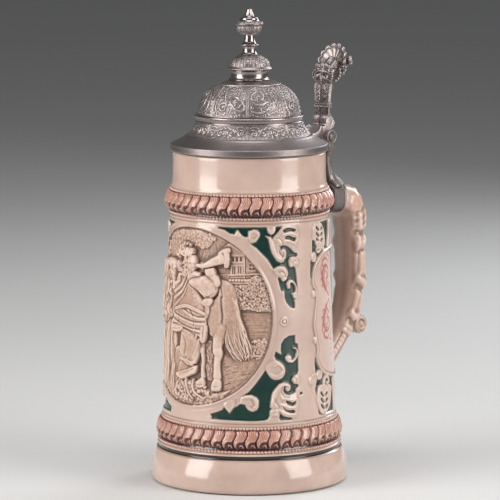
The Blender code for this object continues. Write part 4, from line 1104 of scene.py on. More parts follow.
def draw_panel(orn):
    """Side panel with moulded edge, and the leaves above and below it."""
    for p in both("""88.6,169.1 94.1,169.4 103.8,168.8 114.7,168.5 114,149.1 102.7,149.2
            96.3,146.4 91.4,143.1 88.4,139.2 86.3,133.5 85.8,133.6 86.3,143.6 88.1,150.8"""):
        orn.ground(p)
    for p in both("""88.3,82.9 89.8,79 93.2,74.3 99.9,70.3 112.7,67.1 111.9,42.2 98.1,44.2
            90.3,46.6 87.5,63.2 88.8,71.5 87.9,78.4"""):
        orn.ground(p)
    for p in both("""88.9,167.8 94,168.6 99.7,166.6 102.5,162.1 104,155.9 102.4,151.7 96.8,150.4
            92.9,151.9 90.6,156.6 87.8,158.6"""):
        orn.form(p, 0.75, 1.5)
    for p in both("111.9,167.8 114.1,167.8 113.5,149.1 108.6,149.8 111.6,158.4"):
        orn.form(p, 0.6, 0.9)
    for drop in (0, 3.762, 7.524):
        for p in (both("91.4,165.5 92.7,166 94.6,164.1 94.8,162.9 92.9,163.8")
                  + both("100.5,164.5 98.9,165.3 96.6,163.9 96.2,162.8 98.4,163.2")):
            orn.slot(p - [0, drop])
    for p in both("95.7,167.2 95.5,162 95.3,157 94.8,152.3"):
        orn.ridge(p, [0.7, 0.9, 0.9, 0.6], 0.45)
    for p in both(spiral(93.6, 151.6, 4.2, 0.7, 110, -250, 40, 0.9)):
        orn.rope(p, [1.4, 1.3, 1.0, 0.8], 0.95)
    for p in both(spiral(100.5, 66.0, 4.6, 0.7, 200, -160, 40, 0.9)):
        orn.rope(p, [1.5, 1.4, 1.0, 0.8], 0.95)
    for u, z, r, h, rz in ((89.4, 146.7, 2.9, 0.8, 3.4), (91.9, 71.4, 3.6, 0.85, 3.4),
                           (84.6, 68.7, 3.4, 0.7, 3.0)):
        for centre in (u, 2 * PANEL_U - u):
            orn.knob(centre, z, r, h, rz)
    for p in both("""89.4,62.9 92.3,65 98.9,64 107.4,62.6 106.4,56.8 103.6,50.4 98.2,46.2
            92.6,46.3 89.3,51 87.9,56.3"""):
        orn.form(p, 0.75, 1.5)
    for drop in (0, 3.933, 7.866):
        for p in (both("91.9,60 93.2,60.5 95,58.3 95.3,56.9 93.4,58.1")
                  + both("101,58.6 99.3,59.5 97,58 96.6,56.7 98.8,57.2")):
            orn.slot(p - [0, drop])
    for p in both("96.2,62.7 96,57.7 95.8,52.6 95.6,47"):
        orn.ridge(p, [0.6, 0.9, 0.9, 0.6], 0.45)
    for p in both("87.8,73.3 89.9,71.3 88.6,66.4 87.2,63.2 84.4,61.1 84.4,72.1"):
        orn.form(p, 0.3, 1.2)

    half, mirrored = both("""117,150.3 102.7,149.2 95.9,146.3 90.7,142.3 88.1,137.6 87.1,132.6
        87.6,128.8 90,126.2 90.7,122.1 90,117.1 88.4,110.5 87.4,103.4 88.7,97.8 89.3,92.6
        90.3,87.4 89.4,83.1 90.9,78.7 94.1,74.5 100.7,70.7 117,67.6""")
    w, d = orn.inside(np.vstack([half, mirrored[::-1][1:-1]]), 3.0)
    orn.clear(w, d + 0.9)
    edge = 0.75 * bell(d, 0.1, 0.75) - 0.3 * bell(d, 1.7, 0.5)
    lift = orn.lift[w]
    orn.lift[w] = np.where(d > -0.8, np.maximum(lift, 0) * (d < 0)
                           + 0.55 * smooth01((d + 0.8) / 1.0) + edge, lift)
    for u, z in ((88.2, 123.4), (88.8, 93.9)):
        for centre in (u, 2 * PANEL_U - u):
            orn.knob(centre, z, 2.2, 1.1, 2.4)


# brush strokes of one quarter of the flourish: line, then radii along it
FLOURISH = (
    ("0.8,-11 4,-8 8.4,-3 9.4,4 5.5,9 1.2,6 1.8,1 5,0.5", [0.4, 0.95, 1.35, 0.95, 0.8, 0.5]),
    ("1.5,11 5,13.6 9,12 8.6,8.8 5.6,9.6", [0.4, 0.8, 0.95, 0.7, 0.35]),
    ("2,-3 4.6,-5.5 3.8,-9", [0.35, 0.85, 0.35]),
    ("6.4,6.2 3,3 4.8,-2 6.8,-6", [0.3, 0.65, 0.55, 0.3]),
    ("2.2,-9.6 5,-6.4 7.2,-1.6 7.4,3.4 5,7.2", [0.25, 0.45, 0.6, 0.45, 0.25]),
    ("2,-11.2 -0.6,-8 0.4,-3.6 3.2,-1.4", [0.3, 0.6, 0.5, 0.25]),
    ("9.6,1 11,5.4 10.6,9.4 8.8,10.8", [0.25, 0.55, 0.5, 0.25]),
    ("0.6,9.4 -1.4,12.6 0.2,15.2 2.6,14.2", [0.3, 0.7, 0.6, 0.3]),
)


def paint_flourish(orn):
    """Painted loops and leaves on the panel."""
    for side in (-1, 1):
        for middle, up in ((131.0, 1), (107.0, -1)):
            def placed(pts):
                a, b = points(pts).T
                return np.stack([PANEL_U + side * (7.6 + 1.15 * a), middle + up * b], -1)
            for line, radii in FLOURISH:
                orn.paint(placed(line), radii)
            for k in range(5):
                a = math.radians(20 + 34 * k)
                u, z = placed([(8.0 * math.sin(a) + 1.2, 8 * math.cos(a))])[0]
                orn.paint([(u, z), (u + side * 2.0, z + 0.9), (u + side * 3.0, z - 0.4)],
                          [0.2, 0.6, 0.2])
        for k in range(4):
            orn.paint([(PANEL_U + side * 7.4, 92.5 - 3.2 * k),
                       (PANEL_U + side * 8.6, 91.6 - 3.2 * k)], [0.55, 0.35])
    for z in (119.0, 146.0, 90.0):                       # four-pointed stars
        for way in (-1, 1):
            orn.paint([(PANEL_U, z + way * 0.9), (PANEL_U, z + way * 3.2)], [0.75, 0.3])
            orn.paint([(PANEL_U + way * 0.9, z), (PANEL_U + way * 2.6, z)], [0.65, 0.3])


def build_ornament():
    """One side of the mug from the picture to the back; the other mirrors it."""
    orn = Ornament(0.0, 166.5, 44.0, 169.6, 0.2)
    draw_upper_spandrel(orn)
    boss_u, boss_z = 64.0, 108.0
    orn.knob(boss_u, boss_z, 1.35, 0.75)
    orn.rope(spiral(boss_u, boss_z, 2.3, 2.3, 0, 360, 30), [0.5], 0.6, curve=False)
    draw_lower_spandrel(orn)
    draw_panel(orn)
    paint_flourish(orn)
    # soft waviness of hand-finished clay
    orn.lift += 0.10 * (fbm(orn.U * 0.16, orn.Z * 0.16, 2, 77) - 0.5)
    orn.h = blur(orn.lift, 0.9) - 1.15 * blur(smooth01(orn.green), 1.3)
    orn.green = blur(orn.green, 0.8)
    orn.red = blur(orn.red, 0.5)
    # hollow mask: stain and painted shade in the hollows, painted highlight on the raised ornament
    orn.hollow = hollows(orn.h, 5.0, 0.55, 2.0, 0.2)
    return orn


# ------------------------------------------------------------- mesh from grid
def link_new(name, me):
    ob = bpy.data.objects.new(name, me)
    bpy.context.scene.collection.objects.link(ob)
    return ob


def channels(*values):
    """Stack arrays and plain numbers as the channels of a colour."""
    return np.stack(np.broadcast_arrays(*values), -1)


# one mask for the pewter: tarnish in the hollows, painted highlight on the high spots
def patina_and_highlight_mask(hollow):
    return {"patina_and_highlight": channels(np.clip(hollow, 0, 1), 0.0, 0.0, 1.0)}


def skin(name, grid, ends, masks, mat):
    """Closed mesh from rows x columns x 3 points; each row is a ring.

    ends="cap" closes the first and last row with a centre point each,
    "loop" joins the last row to the first.
    """
    rows, cols = grid.shape[:2]
    index = np.arange(rows * cols).reshape(rows, cols)
    if ends == "loop":
        near, far = index, np.roll(index, -1, axis=0)
    else:
        near, far = index[:-1], index[1:]
    quads = np.stack([near, far, np.roll(far, -1, axis=1), np.roll(near, -1, axis=1)],
                     axis=-1).reshape(-1, 4)
    co = grid.reshape(-1, 3)
    tris = np.zeros((0, 3), int)
    extra = 0
    if ends == "cap":
        extra = 2
        first, last = index[0], index[-1]
        centre = np.full(cols, len(co))
        tris = np.vstack([np.stack([first, np.roll(first, -1), centre], -1),
                          np.stack([np.roll(last, -1), last, centre + 1], -1)])
        co = np.vstack([co, co[first].mean(axis=0), co[last].mean(axis=0)])
    me = bpy.data.meshes.new(name)
    me.vertices.add(len(co))
    me.vertices.foreach_set("co", (co * MM).astype(np.float32).ravel())
    loops = np.concatenate([quads.ravel(), tris.ravel()]).astype(np.int32)
    counts = np.concatenate([np.full(len(quads), 4), np.full(len(tris), 3)])
    starts = np.concatenate([[0], np.cumsum(counts)[:-1]]).astype(np.int32)
    me.loops.add(len(loops))
    me.loops.foreach_set("vertex_index", loops)
    me.polygons.add(len(counts))
    me.polygons.foreach_set("loop_start", starts)
    me.update(calc_edges=True)
    me.validate(verbose=False)
    for key, value in masks.items():
        value = np.asarray(value, np.float32).reshape(-1, 4)
        value = np.vstack([value, np.tile(value[:1], (extra, 1))])
        layer = me.color_attributes.new(name=key, type="FLOAT_COLOR", domain="POINT")
        layer.data.foreach_set("color", value.ravel())
    me.polygons.foreach_set("use_smooth", np.full(len(me.polygons), True))
    ob = link_new(name, me)
    me.materials.append(mat)
    bm = bmesh.new()
    bm.from_mesh(me)
    if bm.calc_volume(signed=True) < 0:
        bmesh.ops.reverse_faces(bm, faces=bm.faces)
        bm.to_mesh(me)
    bm.free()
    me.update()
    return ob


def resample(p, n):
    """n + 1 evenly spaced points along a line."""
    run = run_length(p)
    t = np.linspace(0, run[-1], n + 1)
    return np.stack([np.interp(t, run, p[:, 0]), np.interp(t, run, p[:, 1])], 1)


def dense_profile(pts, spacing):
    """Rounded profile through the points, resampled evenly."""
    p = spline(pts, False, 14)
    return resample(p, max(2, int(run_length(p)[-1] / spacing)))


def slope_of(step):
    """Unit vectors square to the profile: (-dz, dr)."""
    length = np.hypot(step[:, 0], step[:, 1]) + 1e-9
    return -step[:, 1] / length, step[:, 0] / length


def spread(profile, psi):
    """Grids of turn, radius and height for a turned profile."""
    shape = (len(profile), len(psi))
    return (np.broadcast_to(psi, shape), np.broadcast_to(profile[:, :1], shape),
            np.broadcast_to(profile[:, 1:2], shape))


def turned(PSI, R, Z):
    """Points in space; psi = 0 faces the picture, towards -X."""
    return np.stack([R * np.cos(PSI + math.pi), R * np.sin(PSI + math.pi), Z], -1)


# --------------------------------------------------------------- stoneware mug
def leaf_band(s, t, wobble):
    """Running leaf band: s in leaves round the body, t 0 at the top to 1.

    Returns height, oxblood and black masks, and a blush for the clay.
    """
    line = np.interp(t, [0.0, 0.08, 0.2, 0.35, 0.47, 0.63, 0.78, 0.9, 1.0],
                     [0.02, 0.08, 0.10, 0.0, -0.12, -0.155, -0.12, 0.0, 0.2])
    w = (s - line) % 1.0
    near = np.minimum(w, 1 - w)
    x = s % 1.0
    ring = np.hypot((((x - 0.02 + 0.5) % 1.0) - 0.5) / 0.09, (t - 0.10) / 0.06)
    hook = bell(ring, 1.0, 0.5) * (t < 0.18)
    hollow = np.hypot(((x - 0.52 + 0.5) % 1.0 - 0.5) / 0.43, (t - 0.86) / 0.30)
    under_tip = smooth01((w - 0.68) / 0.08) * smooth01((t - 0.47 - 0.35 * (1 - w)) / 0.05)
    in_hollow = np.clip(np.maximum(smooth01((1.06 - hollow) / 0.14), under_tip), 0, 1)
    low = smooth01((t - 0.955) / 0.03)
    grain = np.sin((w * 6.0 + 1.6 * t) * 2 * math.pi + 2.2 * np.sin(9 * t + 3 * wobble))
    grain = (grain * 0.5 + 0.5) ** 1.8 * smooth01((t - 0.02) / 0.05)
    fade = np.clip(1.25 - 1.1 * t, 0.3, 1) * (0.55 + 0.9 * wobble)
    streak = np.clip(grain * fade, 0, 1) * (1 - in_hollow)
    body = np.clip(np.sin(math.pi * np.clip((w - 0.02) / 0.96, 0, 1)), 0, 1) ** 0.5
    lip = bell(hollow, 1.16, 0.13) * (1 - in_hollow) * smooth01((t - 0.4) / 0.2)
    h = 0.95 * body + 0.4 * lip - 0.22 * streak
    h = h * (1 - in_hollow) - 0.55 * in_hollow
    h = h - 0.9 * bell(near, 0, 0.055)
    # raised bud with a crescent light in the hollow
    bud_x = (x - 0.56 + 0.5) % 1.0 - 0.5
    bud = np.hypot(bud_x / 0.19, (t - 0.86) / 0.135)
    angle = np.arctan2((0.86 - t) / 0.135, bud_x / 0.19)
    arc = bell(bud, 0.80, 0.27) * smooth01((np.sin(angle + 0.3) + 0.35) / 0.7)
    h = h + 0.95 * arc
    h = h * (1 - low) - 0.25 * low
    oxblood = np.maximum.reduce([
        bell(near, 0, 0.072), in_hollow * (1 - 0.97 * arc), low, 0.85 * streak, 0.85 * hook,
        0.45 * smooth01((t - 0.45) / 0.35) * (1 - lip) * (1 - arc)])
    oxblood = np.where(t < 0.06, 1.0, oxblood)
    black = np.clip(in_hollow * (0.30 + 0.75 * bell(bud, 0, 0.45)
                                 + 0.55 * smooth01((t - 0.86) / 0.1)) - arc, 0, 1)
    pink = np.clip(0.55 + 0.3 * (1 - t) + 0.3 * (0.5 - np.abs(w - 0.5)) + 0.4 * (wobble - 0.5),
                   0, 1)
    return h * smooth01(t / 0.06), np.clip(oxblood, 0, 1), black, pink


# closed section from the inner floor, over the rim, down the outside and under
# the foot: radius,z and the spacing of the resampled points
INSIDE = (("1.5,14 20,14 38,14.1 43.5,15 46.6,17.4 47.5,21 47.4,40 47,80 46.2,120 45.4,160 "
           "44.8,184 44.6,196", 3.0),
          ("44.6,196 44.6,204 44.6,209.6 44.75,210.5 45.3,211", 0.7))
OUTSIDE = (
    ("46.8,211 47.9,210.95 48.5,210.6 48.7,209.9 48.7,204 48.75,198 48.95,194 49.2,191.2 "
     "49.6,190.2 50,189.5 50.1,188.9", 0.9),
    # upper bands
    ("""50.1,188.9 50,188.4 50,187.4 50.1,186.5 50.6,185.8 51.2,185 52.4,183 53,181 53.1,179.4
     52.7,177.4 51.8,175.4 51,174.2 50.6,173.4 50.55,172.4 50.9,171.9 50.95,170.6 51.05,169.4
     51.1,168.5""", 0.27),
    # field of the picture
    ("51.1,168.5 51.3,155 51.6,140 52.3,118 52.9,100 54,75 55,54 55.5,45", 0.4),
    # lower bands
    ("""55.5,45 55.7,43.4 55.8,42.2 55.8,41 56,40 56.8,39.2 57.7,37.6 58.35,35.2 58.6,33.2
     58.5,31 58.3,29 58.2,27.9 58.15,26.8 58.2,25.4 58.5,25.1""", 0.27),
    # foot
    ("""58.5,25.1 58.8,24.9 59.1,24.4 59,23.9 58.6,23.6 58.3,23.2 58.25,22.4 58.3,21.7 58.8,21.3
     59.6,20.7 60.3,19 61.4,16 62.3,12.6 62.9,9 63,6 63,3.2 62.7,1.5 61.8,0.4 60.2,0""", 0.45),
    # underside
    ("60.2,0 57.5,0.05 56.3,0.5 55.2,1.6 53.5,2.1 48,2.3 30,2.4 8,2.4 1.5,2.4", 2.0))


class Mug:
    """Grids of the mug's wall and the layers of relief and glaze on it."""

    def __init__(self):
        half = np.radians(np.concatenate([np.arange(0, 76, 0.34), np.arange(76, 176, 0.42),
                                          np.arange(176, 180, 0.5)]))
        psi = np.concatenate([half, [math.pi], -half[1:][::-1]])
        inner = [dense_profile(*part) for part in INSIDE]
        rim_top = points("45.3,211 46.05,211.06 46.8,211")
        parts = inner + [rim_top] + [dense_profile(*part) for part in OUTSIDE]
        self.profile = np.vstack([parts[0]] + [part[1:] for part in parts[1:]])
        self.PSI, self.R, self.Z = spread(self.profile, psi)
        self.U = self.PSI * SHEET_R
        self.outer = np.ones_like(self.Z, bool)
        self.outer[:len(inner[0]) + len(inner[1]) - 1] = False
        (self.H, self.green, self.oxblood, self.black, self.red, self.relief, self.hollow,
         self.pink) = (np.zeros(self.Z.shape) for _ in range(8))


def emboss_field(mug):
    """Round picture in front, ornament on both sides of it."""
    pic = build_picture()
    orn = build_ornament()
    U, Z, H = mug.U, mug.Z, mug.H
    field = mug.outer & (Z > 44.9) & (Z < 168.6) & (mug.R > 50)
    radius = np.hypot(U, Z - PICTURE_Z)
    in_pic = field & (radius < PICTURE_R + 0.2)
    beside = field & ~in_pic

    u, z = np.abs(U)[beside], Z[beside]
    fade = smooth01((168.4 - z) / 1.0) * smooth01((z - 45.2) / 1.0)
    out = radius[beside] - PICTURE_R
    ring = 0.38 * bell(out, 0.7, 0.8) - 0.12 * bell(out, 2.6, 0.6)
    H[beside] = (orn.sample(orn.h, u, z) + ring
                 + 0.25 * smooth01(1 - (out - 1) / 7) * (out < 8)) * fade
    mug.green[beside] = orn.sample(orn.green, u, z) * fade
    mug.red[beside] = orn.sample(orn.red, u, z)
    mug.hollow[beside] = orn.sample(orn.hollow, u, z) * fade

    u, z, radius = U[in_pic], Z[in_pic], radius[in_pic]
    h = pic.sample(pic.h, u, z)
    h = np.where(h > 3.6, 3.6 + (h - 3.6) * 0.6, h)          # flatten the highest forms
    wall = smooth01((PICTURE_R - radius) / 1.0)
    H[in_pic] = 0.25 * (1 - wall) + wall * (-1.35 + h * (0.35 + 0.65 * smooth01(
        (56.0 - radius) / 4.0)))
    mug.relief[in_pic] = smooth01((56.7 - radius) / 0.5)
    # the bell at the rim adds a painted shadow along the edge of the picture
    mug.hollow[in_pic] = np.clip(pic.sample(pic.hollow, u, z) + 1.3 * bell(radius, 55.9, 0.42),
                                 -1, 1)


def emboss_bands(mug):
    """Leaf bands, bead rows and coloured lines above and below the field."""
    PSI, Z, H, outer = mug.PSI, mug.Z, mug.H, mug.outer
    oxblood, hollow = mug.oxblood, mug.hollow
    # mould lines along the top and foot of the field, with painted shade along them
    H -= outer * (0.22 * bell(Z, 169.9, 0.3) + 0.25 * bell(Z, 43.9, 0.3)
                  - 0.22 * bell(Z, 170.8, 0.4) - 0.22 * bell(Z, 43.1, 0.35))
    hollow += outer * (0.9 * bell(Z, 169.9, 0.45) + 0.9 * bell(Z, 43.9, 0.45)
                       + 0.6 * bell(Z, 171.7, 0.35))
    # top, foot, number of leaves, seed
    for top, foot, leaves, seed in ((186.6, 174.0, 47, 3), (39.9, 27.9, 50, 9)):
        m = outer & (Z < top) & (Z > foot)
        t = (top - Z[m]) / (top - foot)
        s = PSI[m] * leaves / (2 * math.pi)
        wobble = vnoise(s * 1.0 + 40, t * 3, seed)
        h, ox, dark, pink = leaf_band(s, t, wobble)
        H[m] += h
        oxblood[m] = np.maximum(oxblood[m], ox)
        mug.black[m] = np.maximum(mug.black[m], dark)
        mug.pink[m] = pink
    # bead rows: middle, half height, number, relief, side of the dark gaps
    for centre, half, count, tall, way in ((172.9, 0.95, 140, 1.0, 1), (187.4, 0.95, 140, 0.9, -1),
                                           (41.0, 0.95, 160, 0.9, -1), (26.4, 0.85, 160, 0.9, 1)):
        across = (PSI * count / (2 * math.pi)) % 1.0 - 0.5
        h = np.sqrt(np.clip(1 - (across / 0.47) ** 2 - ((Z - centre) / half) ** 2, 0, 1))
        m = outer & (np.abs(Z - centre) < half * 1.25)
        H[m] = np.maximum(H[m], 0) * (h[m] <= 0) + tall * h[m]
        dark = m & ((Z - centre) * way > -0.25) & (h < 0.33)
        oxblood[dark] = 1.0
        shade = m & ~dark & (h < 0.33)
        hollow[shade] = 0.9
        oxblood[shade] = np.maximum(oxblood[shade], 0.35)
        mug.pink[m] = 0.25
    for low, high in ((186.0, 186.75), (39.4, 40.15), (173.75, 174.1), (27.35, 28.0)):
        oxblood[outer & (Z > low) & (Z < high)] = 1.0
    mug.black[outer & (Z > 21.2) & (Z < 23.75) & (mug.R > 57)] = 1.0
    # painted shade in three grooves: two at the foot, one under the rim
    hollow += outer * (0.7 * bell(Z, 20.9, 0.5) + 0.55 * bell(Z, 25.2, 0.3)
                       + 0.6 * bell(Z, 189.1, 0.35) * (mug.R > 47))


def build_mug():
    mug = Mug()
    emboss_field(mug)
    emboss_bands(mug)
    H = mug.H
    H += 0.05 * (fbm(mug.U * 0.07 + 9, mug.Z * 0.07, 2, 5) - 0.5)
    H *= smooth01((math.pi - np.abs(mug.PSI)) / 0.02 + 0.2)      # calm the seam at the back
    H[~mug.outer] = 0
    nr, nz = slope_of(np.gradient(mug.profile, axis=0))
    grid = turned(mug.PSI, mug.R + H * nr[:, None], mug.Z + H * nz[:, None])
    hollow = np.clip(mug.hollow, -1, 1) * 0.5 + 0.5
    return skin("stein_body", grid, "cap",
                {"glaze": channels(mug.green, mug.oxblood, mug.black, mug.red),
                 "clay": channels(mug.relief, hollow, mug.pink, 1.0)}, CLAY)


# --------------------------------------------------------------------- handle
HANDLE = (  # x, z, half width, half thickness of the strap
    (47.5, 174.4, 10.5, 8.6), (58.0, 175.0, 10.2, 8.2), (66.0, 175.2, 10.0, 8.0),
    (78.0, 174.4, 10.0, 8.1), (86.7, 171.0, 10.5, 9.4), (91.4, 164.6, 11.0, 9.2),
    (92.5, 155.0, 11.1, 7.7), (93.1, 140.0, 11.2, 6.6), (93.8, 122.0, 11.1, 6.9),
    (91.7, 107.3, 10.2, 6.4), (88.0, 94.5, 9.0, 6.4), (80.0, 82.0, 8.2, 6.4),
    (70.0, 70.0, 7.6, 6.3), (60.0, 59.0, 7.8, 6.6), (49.5, 48.5, 8.6, 7.4))


def strap_frame(step):
    """Length, x, z, half width, half thickness and outward normal along the strap."""
    path = spline(HANDLE, per=24)
    run = run_length(path)
    t = np.linspace(0, run[-1], int(run[-1] / step) + 1)
    x, z, half_wide, half_thick = (np.interp(t, run, column) for column in path.T)
    tx = blur(np.gradient(x)[:, None], 3)[:, 0]
    tz = blur(np.gradient(z)[:, None], 3)[:, 0]
    length = np.hypot(tx, tz)
    return t, x, z, half_wide, half_thick, -tz / length, tx / length


def rosette(du, dv, r, petals, high):
    """Height and blush of a flower of radius r."""
    rad = np.hypot(du, dv)
    angle = np.arctan2(dv, du)
    edge = r * (0.80 + 0.20 * np.abs(np.cos(angle * petals / 2)))
    body = smooth01((edge - rad) / 1.1)
    ribs = 0.28 * np.cos(angle * petals) * smooth01((rad - 1.8) / 1.2)
    eye = smooth01((2.0 - rad) / 0.8)
    h = high * body * (0.62 + ribs + 0.38 * smooth01((rad - 2.2) / 2.5)) * (1 - eye)
    blush = body * (0.35 + 0.65 * np.clip(1 - np.abs(rad - 0.62 * r) / (0.4 * r), 0, 1))
    return h + eye * high * 1.05, blush


def handle_relief(run, strap_z, W, T, half_thick, cos_shape):
    """Relief and blush over the strap.

    W runs across the outer face, T across the flanks, L down the strap.
    """
    L = np.repeat(run[:, None], W.shape[1], 1)
    rel = T / half_thick[:, None]
    outer = smooth01((rel + 0.15) / 0.5)                       # 1 on the outer face
    side = np.abs(cos_shape)[None, :] ** 3 * np.ones_like(L)   # 1 on the flanks
    front = smooth01((-rel - 0.50) / 0.34)                     # smooth face to the mug
    work = 1 - front
    blend = smooth01((side - 0.3) / 0.5)
    D = np.zeros_like(L)

    def at_z(z):
        return run[np.where(strap_z < z)[0][0]]
    shoulder, notch, belt0, belt1 = at_z(171.0), at_z(150.5), at_z(148.5), at_z(139.5)
    knee0, knee1, leaf_top, roll = at_z(122.5), at_z(116.0), at_z(112.0), at_z(99.5)
    rod0, rod1 = at_z(90.0), at_z(55.0)
    start = shoulder + 1.0

    # rosettes on the shoulder: one on each flank, one on the outer face
    h, blush = rosette(L - start, T, 6.4, 7, 0.55)
    gate = smooth01((side - 0.35) / 0.3)
    D += h * gate
    pink = np.maximum(0, gate * blush * 1.4)
    h, blush = rosette(L - start - 1.5, W, 7.6, 9, 0.6)
    gate = smooth01((0.8 - side) / 0.3) * outer
    D += h * gate
    pink = np.maximum(pink, gate * blush * 1.3)
    D += 0.9 * bell(L, start - 2, 9.0) * work
    # drapery falling from the shoulder, gathered at the notch
    fall = L - start
    drape = smooth01((fall - 5) / 5) * smooth01((notch - L) / 4.0) * work
    fold_face = np.sin(W * 0.95 + 0.8 * np.sin(fall * 0.13)) * 0.5 + 0.5
    fold_side = np.sin(T * 1.05 + 0.16 * fall + 0.9 * np.sin(fall * 0.21)) * 0.5 + 0.5
    D += drape * (1.1 * (fold_side * blend + fold_face * (1 - blend)) - 0.1)
    for centre in (9.0, 13.5, 17.5):
        D += drape * 0.55 * bell(fall + 0.35 * T * blend, centre, 1.3)
    # leaf on top of the strap
    leaf_gate = smooth01((start - 15 - L) / 2) * smooth01((L - 27) / 3) * work * outer
    D += leaf_gate * (0.5 * np.clip(1 - np.abs(W) / 6.5, 0, 1) ** 0.6 - 0.3 * bell(W, 0, 0.6))
    # notch, then a puffed gather tied across the strap
    D -= 1.1 * bell(L, notch + 0.25 * T * blend, 1.8) * work
    puff = bell(L + 0.3 * T * blend, (belt0 + belt1) / 2, 3.6)
    D += work * puff * (1.5 + 0.35 * np.sin(T * 1.3 + L * 0.35) * blend
                        + 0.3 * np.sin(W * 1.1 + L * 0.2) * (1 - blend))
    D -= 0.7 * bell(L + 0.3 * T * blend, belt1 + 0.6, 1.0) * work
    # long pleats
    pleat = smooth01((L - belt1 + 0.5) / 2.6) * smooth01((knee0 + 1 - L) / 3.0)
    pleat_face = np.abs(np.sin(W * 0.50 + 0.25 + 0.18 * np.sin(L * 0.12))) ** 0.8
    pleat_side = np.abs(np.sin(T * 0.36 + 0.9 + 0.035 * (L - belt1))) ** 0.8
    D += pleat * work * ((pleat_side * blend + pleat_face * (1 - blend)) * 0.95 - 0.1)
    # knee band rolling round the strap, hollow scooped under it
    slant = L - 0.45 * T * blend
    D += work * 1.7 * bell(slant, (knee0 + knee1) / 2, 3.0)
    D -= 1.1 * bell(slant, knee1 + 2.6, 1.9) * work
    D -= 0.35 * bell(slant, knee0 + 1.4, 0.8) * work
    # calf: two soft lobes running down to the leaf
    calf = smooth01((slant - knee1 - 3) / 3) * smooth01((roll + 2 - L) / 5) * work
    k = np.clip((L - leaf_top + 3) / (roll - leaf_top + 6), 0, 1)
    lobe = 8.4 * (1 - k) ** 0.75 + 1.8
    D += calf * outer * (1 - blend) * (1.1 * np.clip(1 - (np.abs(W) / lobe) ** 2, 0, 1) ** 0.5
                                       - 0.45 * bell(W, 0, 0.8))
    D += calf * blend * (1.0 * np.clip(1 - ((T - 1.0) / 4.6) ** 2, 0, 1) ** 0.5
                         - 0.5 * bell(T + 0.06 * (L - leaf_top), 0.6, 0.8))
    pink = np.maximum(pink, calf * 0.25)
    # curled leaf over the top of the rod
    tip = L + 0.5 * np.abs(T) * blend
    D += work * (1.9 * bell(tip, roll + 4.5, 3.0) - 0.9 * bell(tip, roll + 8.6, 1.2))
    # rod: soft double rings at both ends, beads along it
    for centre in (rod0 + 1.8, rod0 + 4.9, rod1 - 4.9, rod1 - 1.6):
        D += 0.85 * np.clip(1 - ((L - centre) / 1.7) ** 2, 0, 1) * work
    rod = smooth01((L - rod0 - 6.6) / 1.4) * smooth01((rod1 - 6.6 - L) / 1.4)
    bead = ((L / 3.0) % 1.0 - 0.5) * 3.0
    for row, across in ((0.0, W), (4.6, np.abs(W))):
        h = np.clip(1 - (bead / 1.45) ** 2 - ((across - row) / 1.4) ** 2, 0, 1)
        D += rod * 0.95 * h * (1 - blend) * (outer > 0.5)
    h = np.clip(1 - (bead / 1.45) ** 2 - ((T + 0.4) / 1.5) ** 2, 0, 1)
    D += rod * 0.95 * h * blend
    D -= rod * 0.4 * (bell(T, 2.6, 0.6) + bell(T, -3.4, 0.6)) * blend
    # faint lengthwise ridges on the face to the mug
    D += 0.08 * front * np.sin(W * 0.9 + 0.6 * np.sin(L * 0.05)) * smooth01((L - 40) / 10)
    D += 0.16 * (fbm(L * 0.16, W * 0.16 + 30, 3, 3) - 0.5)
    # quiet ends inside the wall, nothing proud under the pewter collar
    D *= smooth01((L - 3) / 4) * smooth01((run[-1] - 3 - L) / 3)
    D *= 1 - smooth01((L - 17.0) / 1.0) * smooth01((32.0 - L) / 1.0)
    return blur(D, 1.5), pink, work


def build_handle():
    run, X, Z, half_wide, half_thick, NX, NZ = strap_frame(0.42)
    sides, power = 168, 2.45
    angle = 2 * math.pi * (np.arange(sides) + 0.5) / sides
    cw = signed_power(np.cos(angle), 2 / power)
    cs = signed_power(np.sin(angle), 2 / power)
    W = cw[None, :] * half_wide[:, None]
    T = cs[None, :] * half_thick[:, None]
    D, pink, work = handle_relief(run, Z, W, T, half_thick, cw)
    nt = signed_power(cs, 1.4)[None, :]
    nw = signed_power(cw, 1.4)[None, :]
    length = np.hypot(nt, nw) + 1e-6
    T = T + D * nt / length
    py = W + D * nw / length
    px = X[:, None] + NX[:, None] * T
    pz = Z[:, None] + NZ[:, None] * T
    # both ends stop inside the wall of the mug
    limit = np.interp(pz, [30, 45, 80, 150, 180], [52.0, 51.5, 50.5, 48.5, 48.0])
    px = np.where(np.hypot(px, py) < limit,
                  np.sqrt(np.maximum(limit ** 2 - py ** 2, 1.0)), px)
    # hollow mask: stain and painted shade in the folds, painted highlight on the raised forms, low
    # worked parts darkened a little more
    hollow = hollows(D, 5.0, 0.5, 2.4, 0.25) * 0.5 + 0.5
    hollow = np.clip(hollow + 0.12 * smooth01((0.1 - D) / 0.5) * work, 0, 1)
    zero = np.zeros_like(D)
    # the whole strap is mixed 0.34 toward the tan: partly the clay's tint, partly painted shade on the
    # handle
    return skin("stein_handle", np.stack([px, py, pz], -1), "cap",
                {"glaze": channels(zero, zero, zero, zero),
                 "clay": channels(0.34, hollow, pink * 0.6, 1.0)}, CLAY)


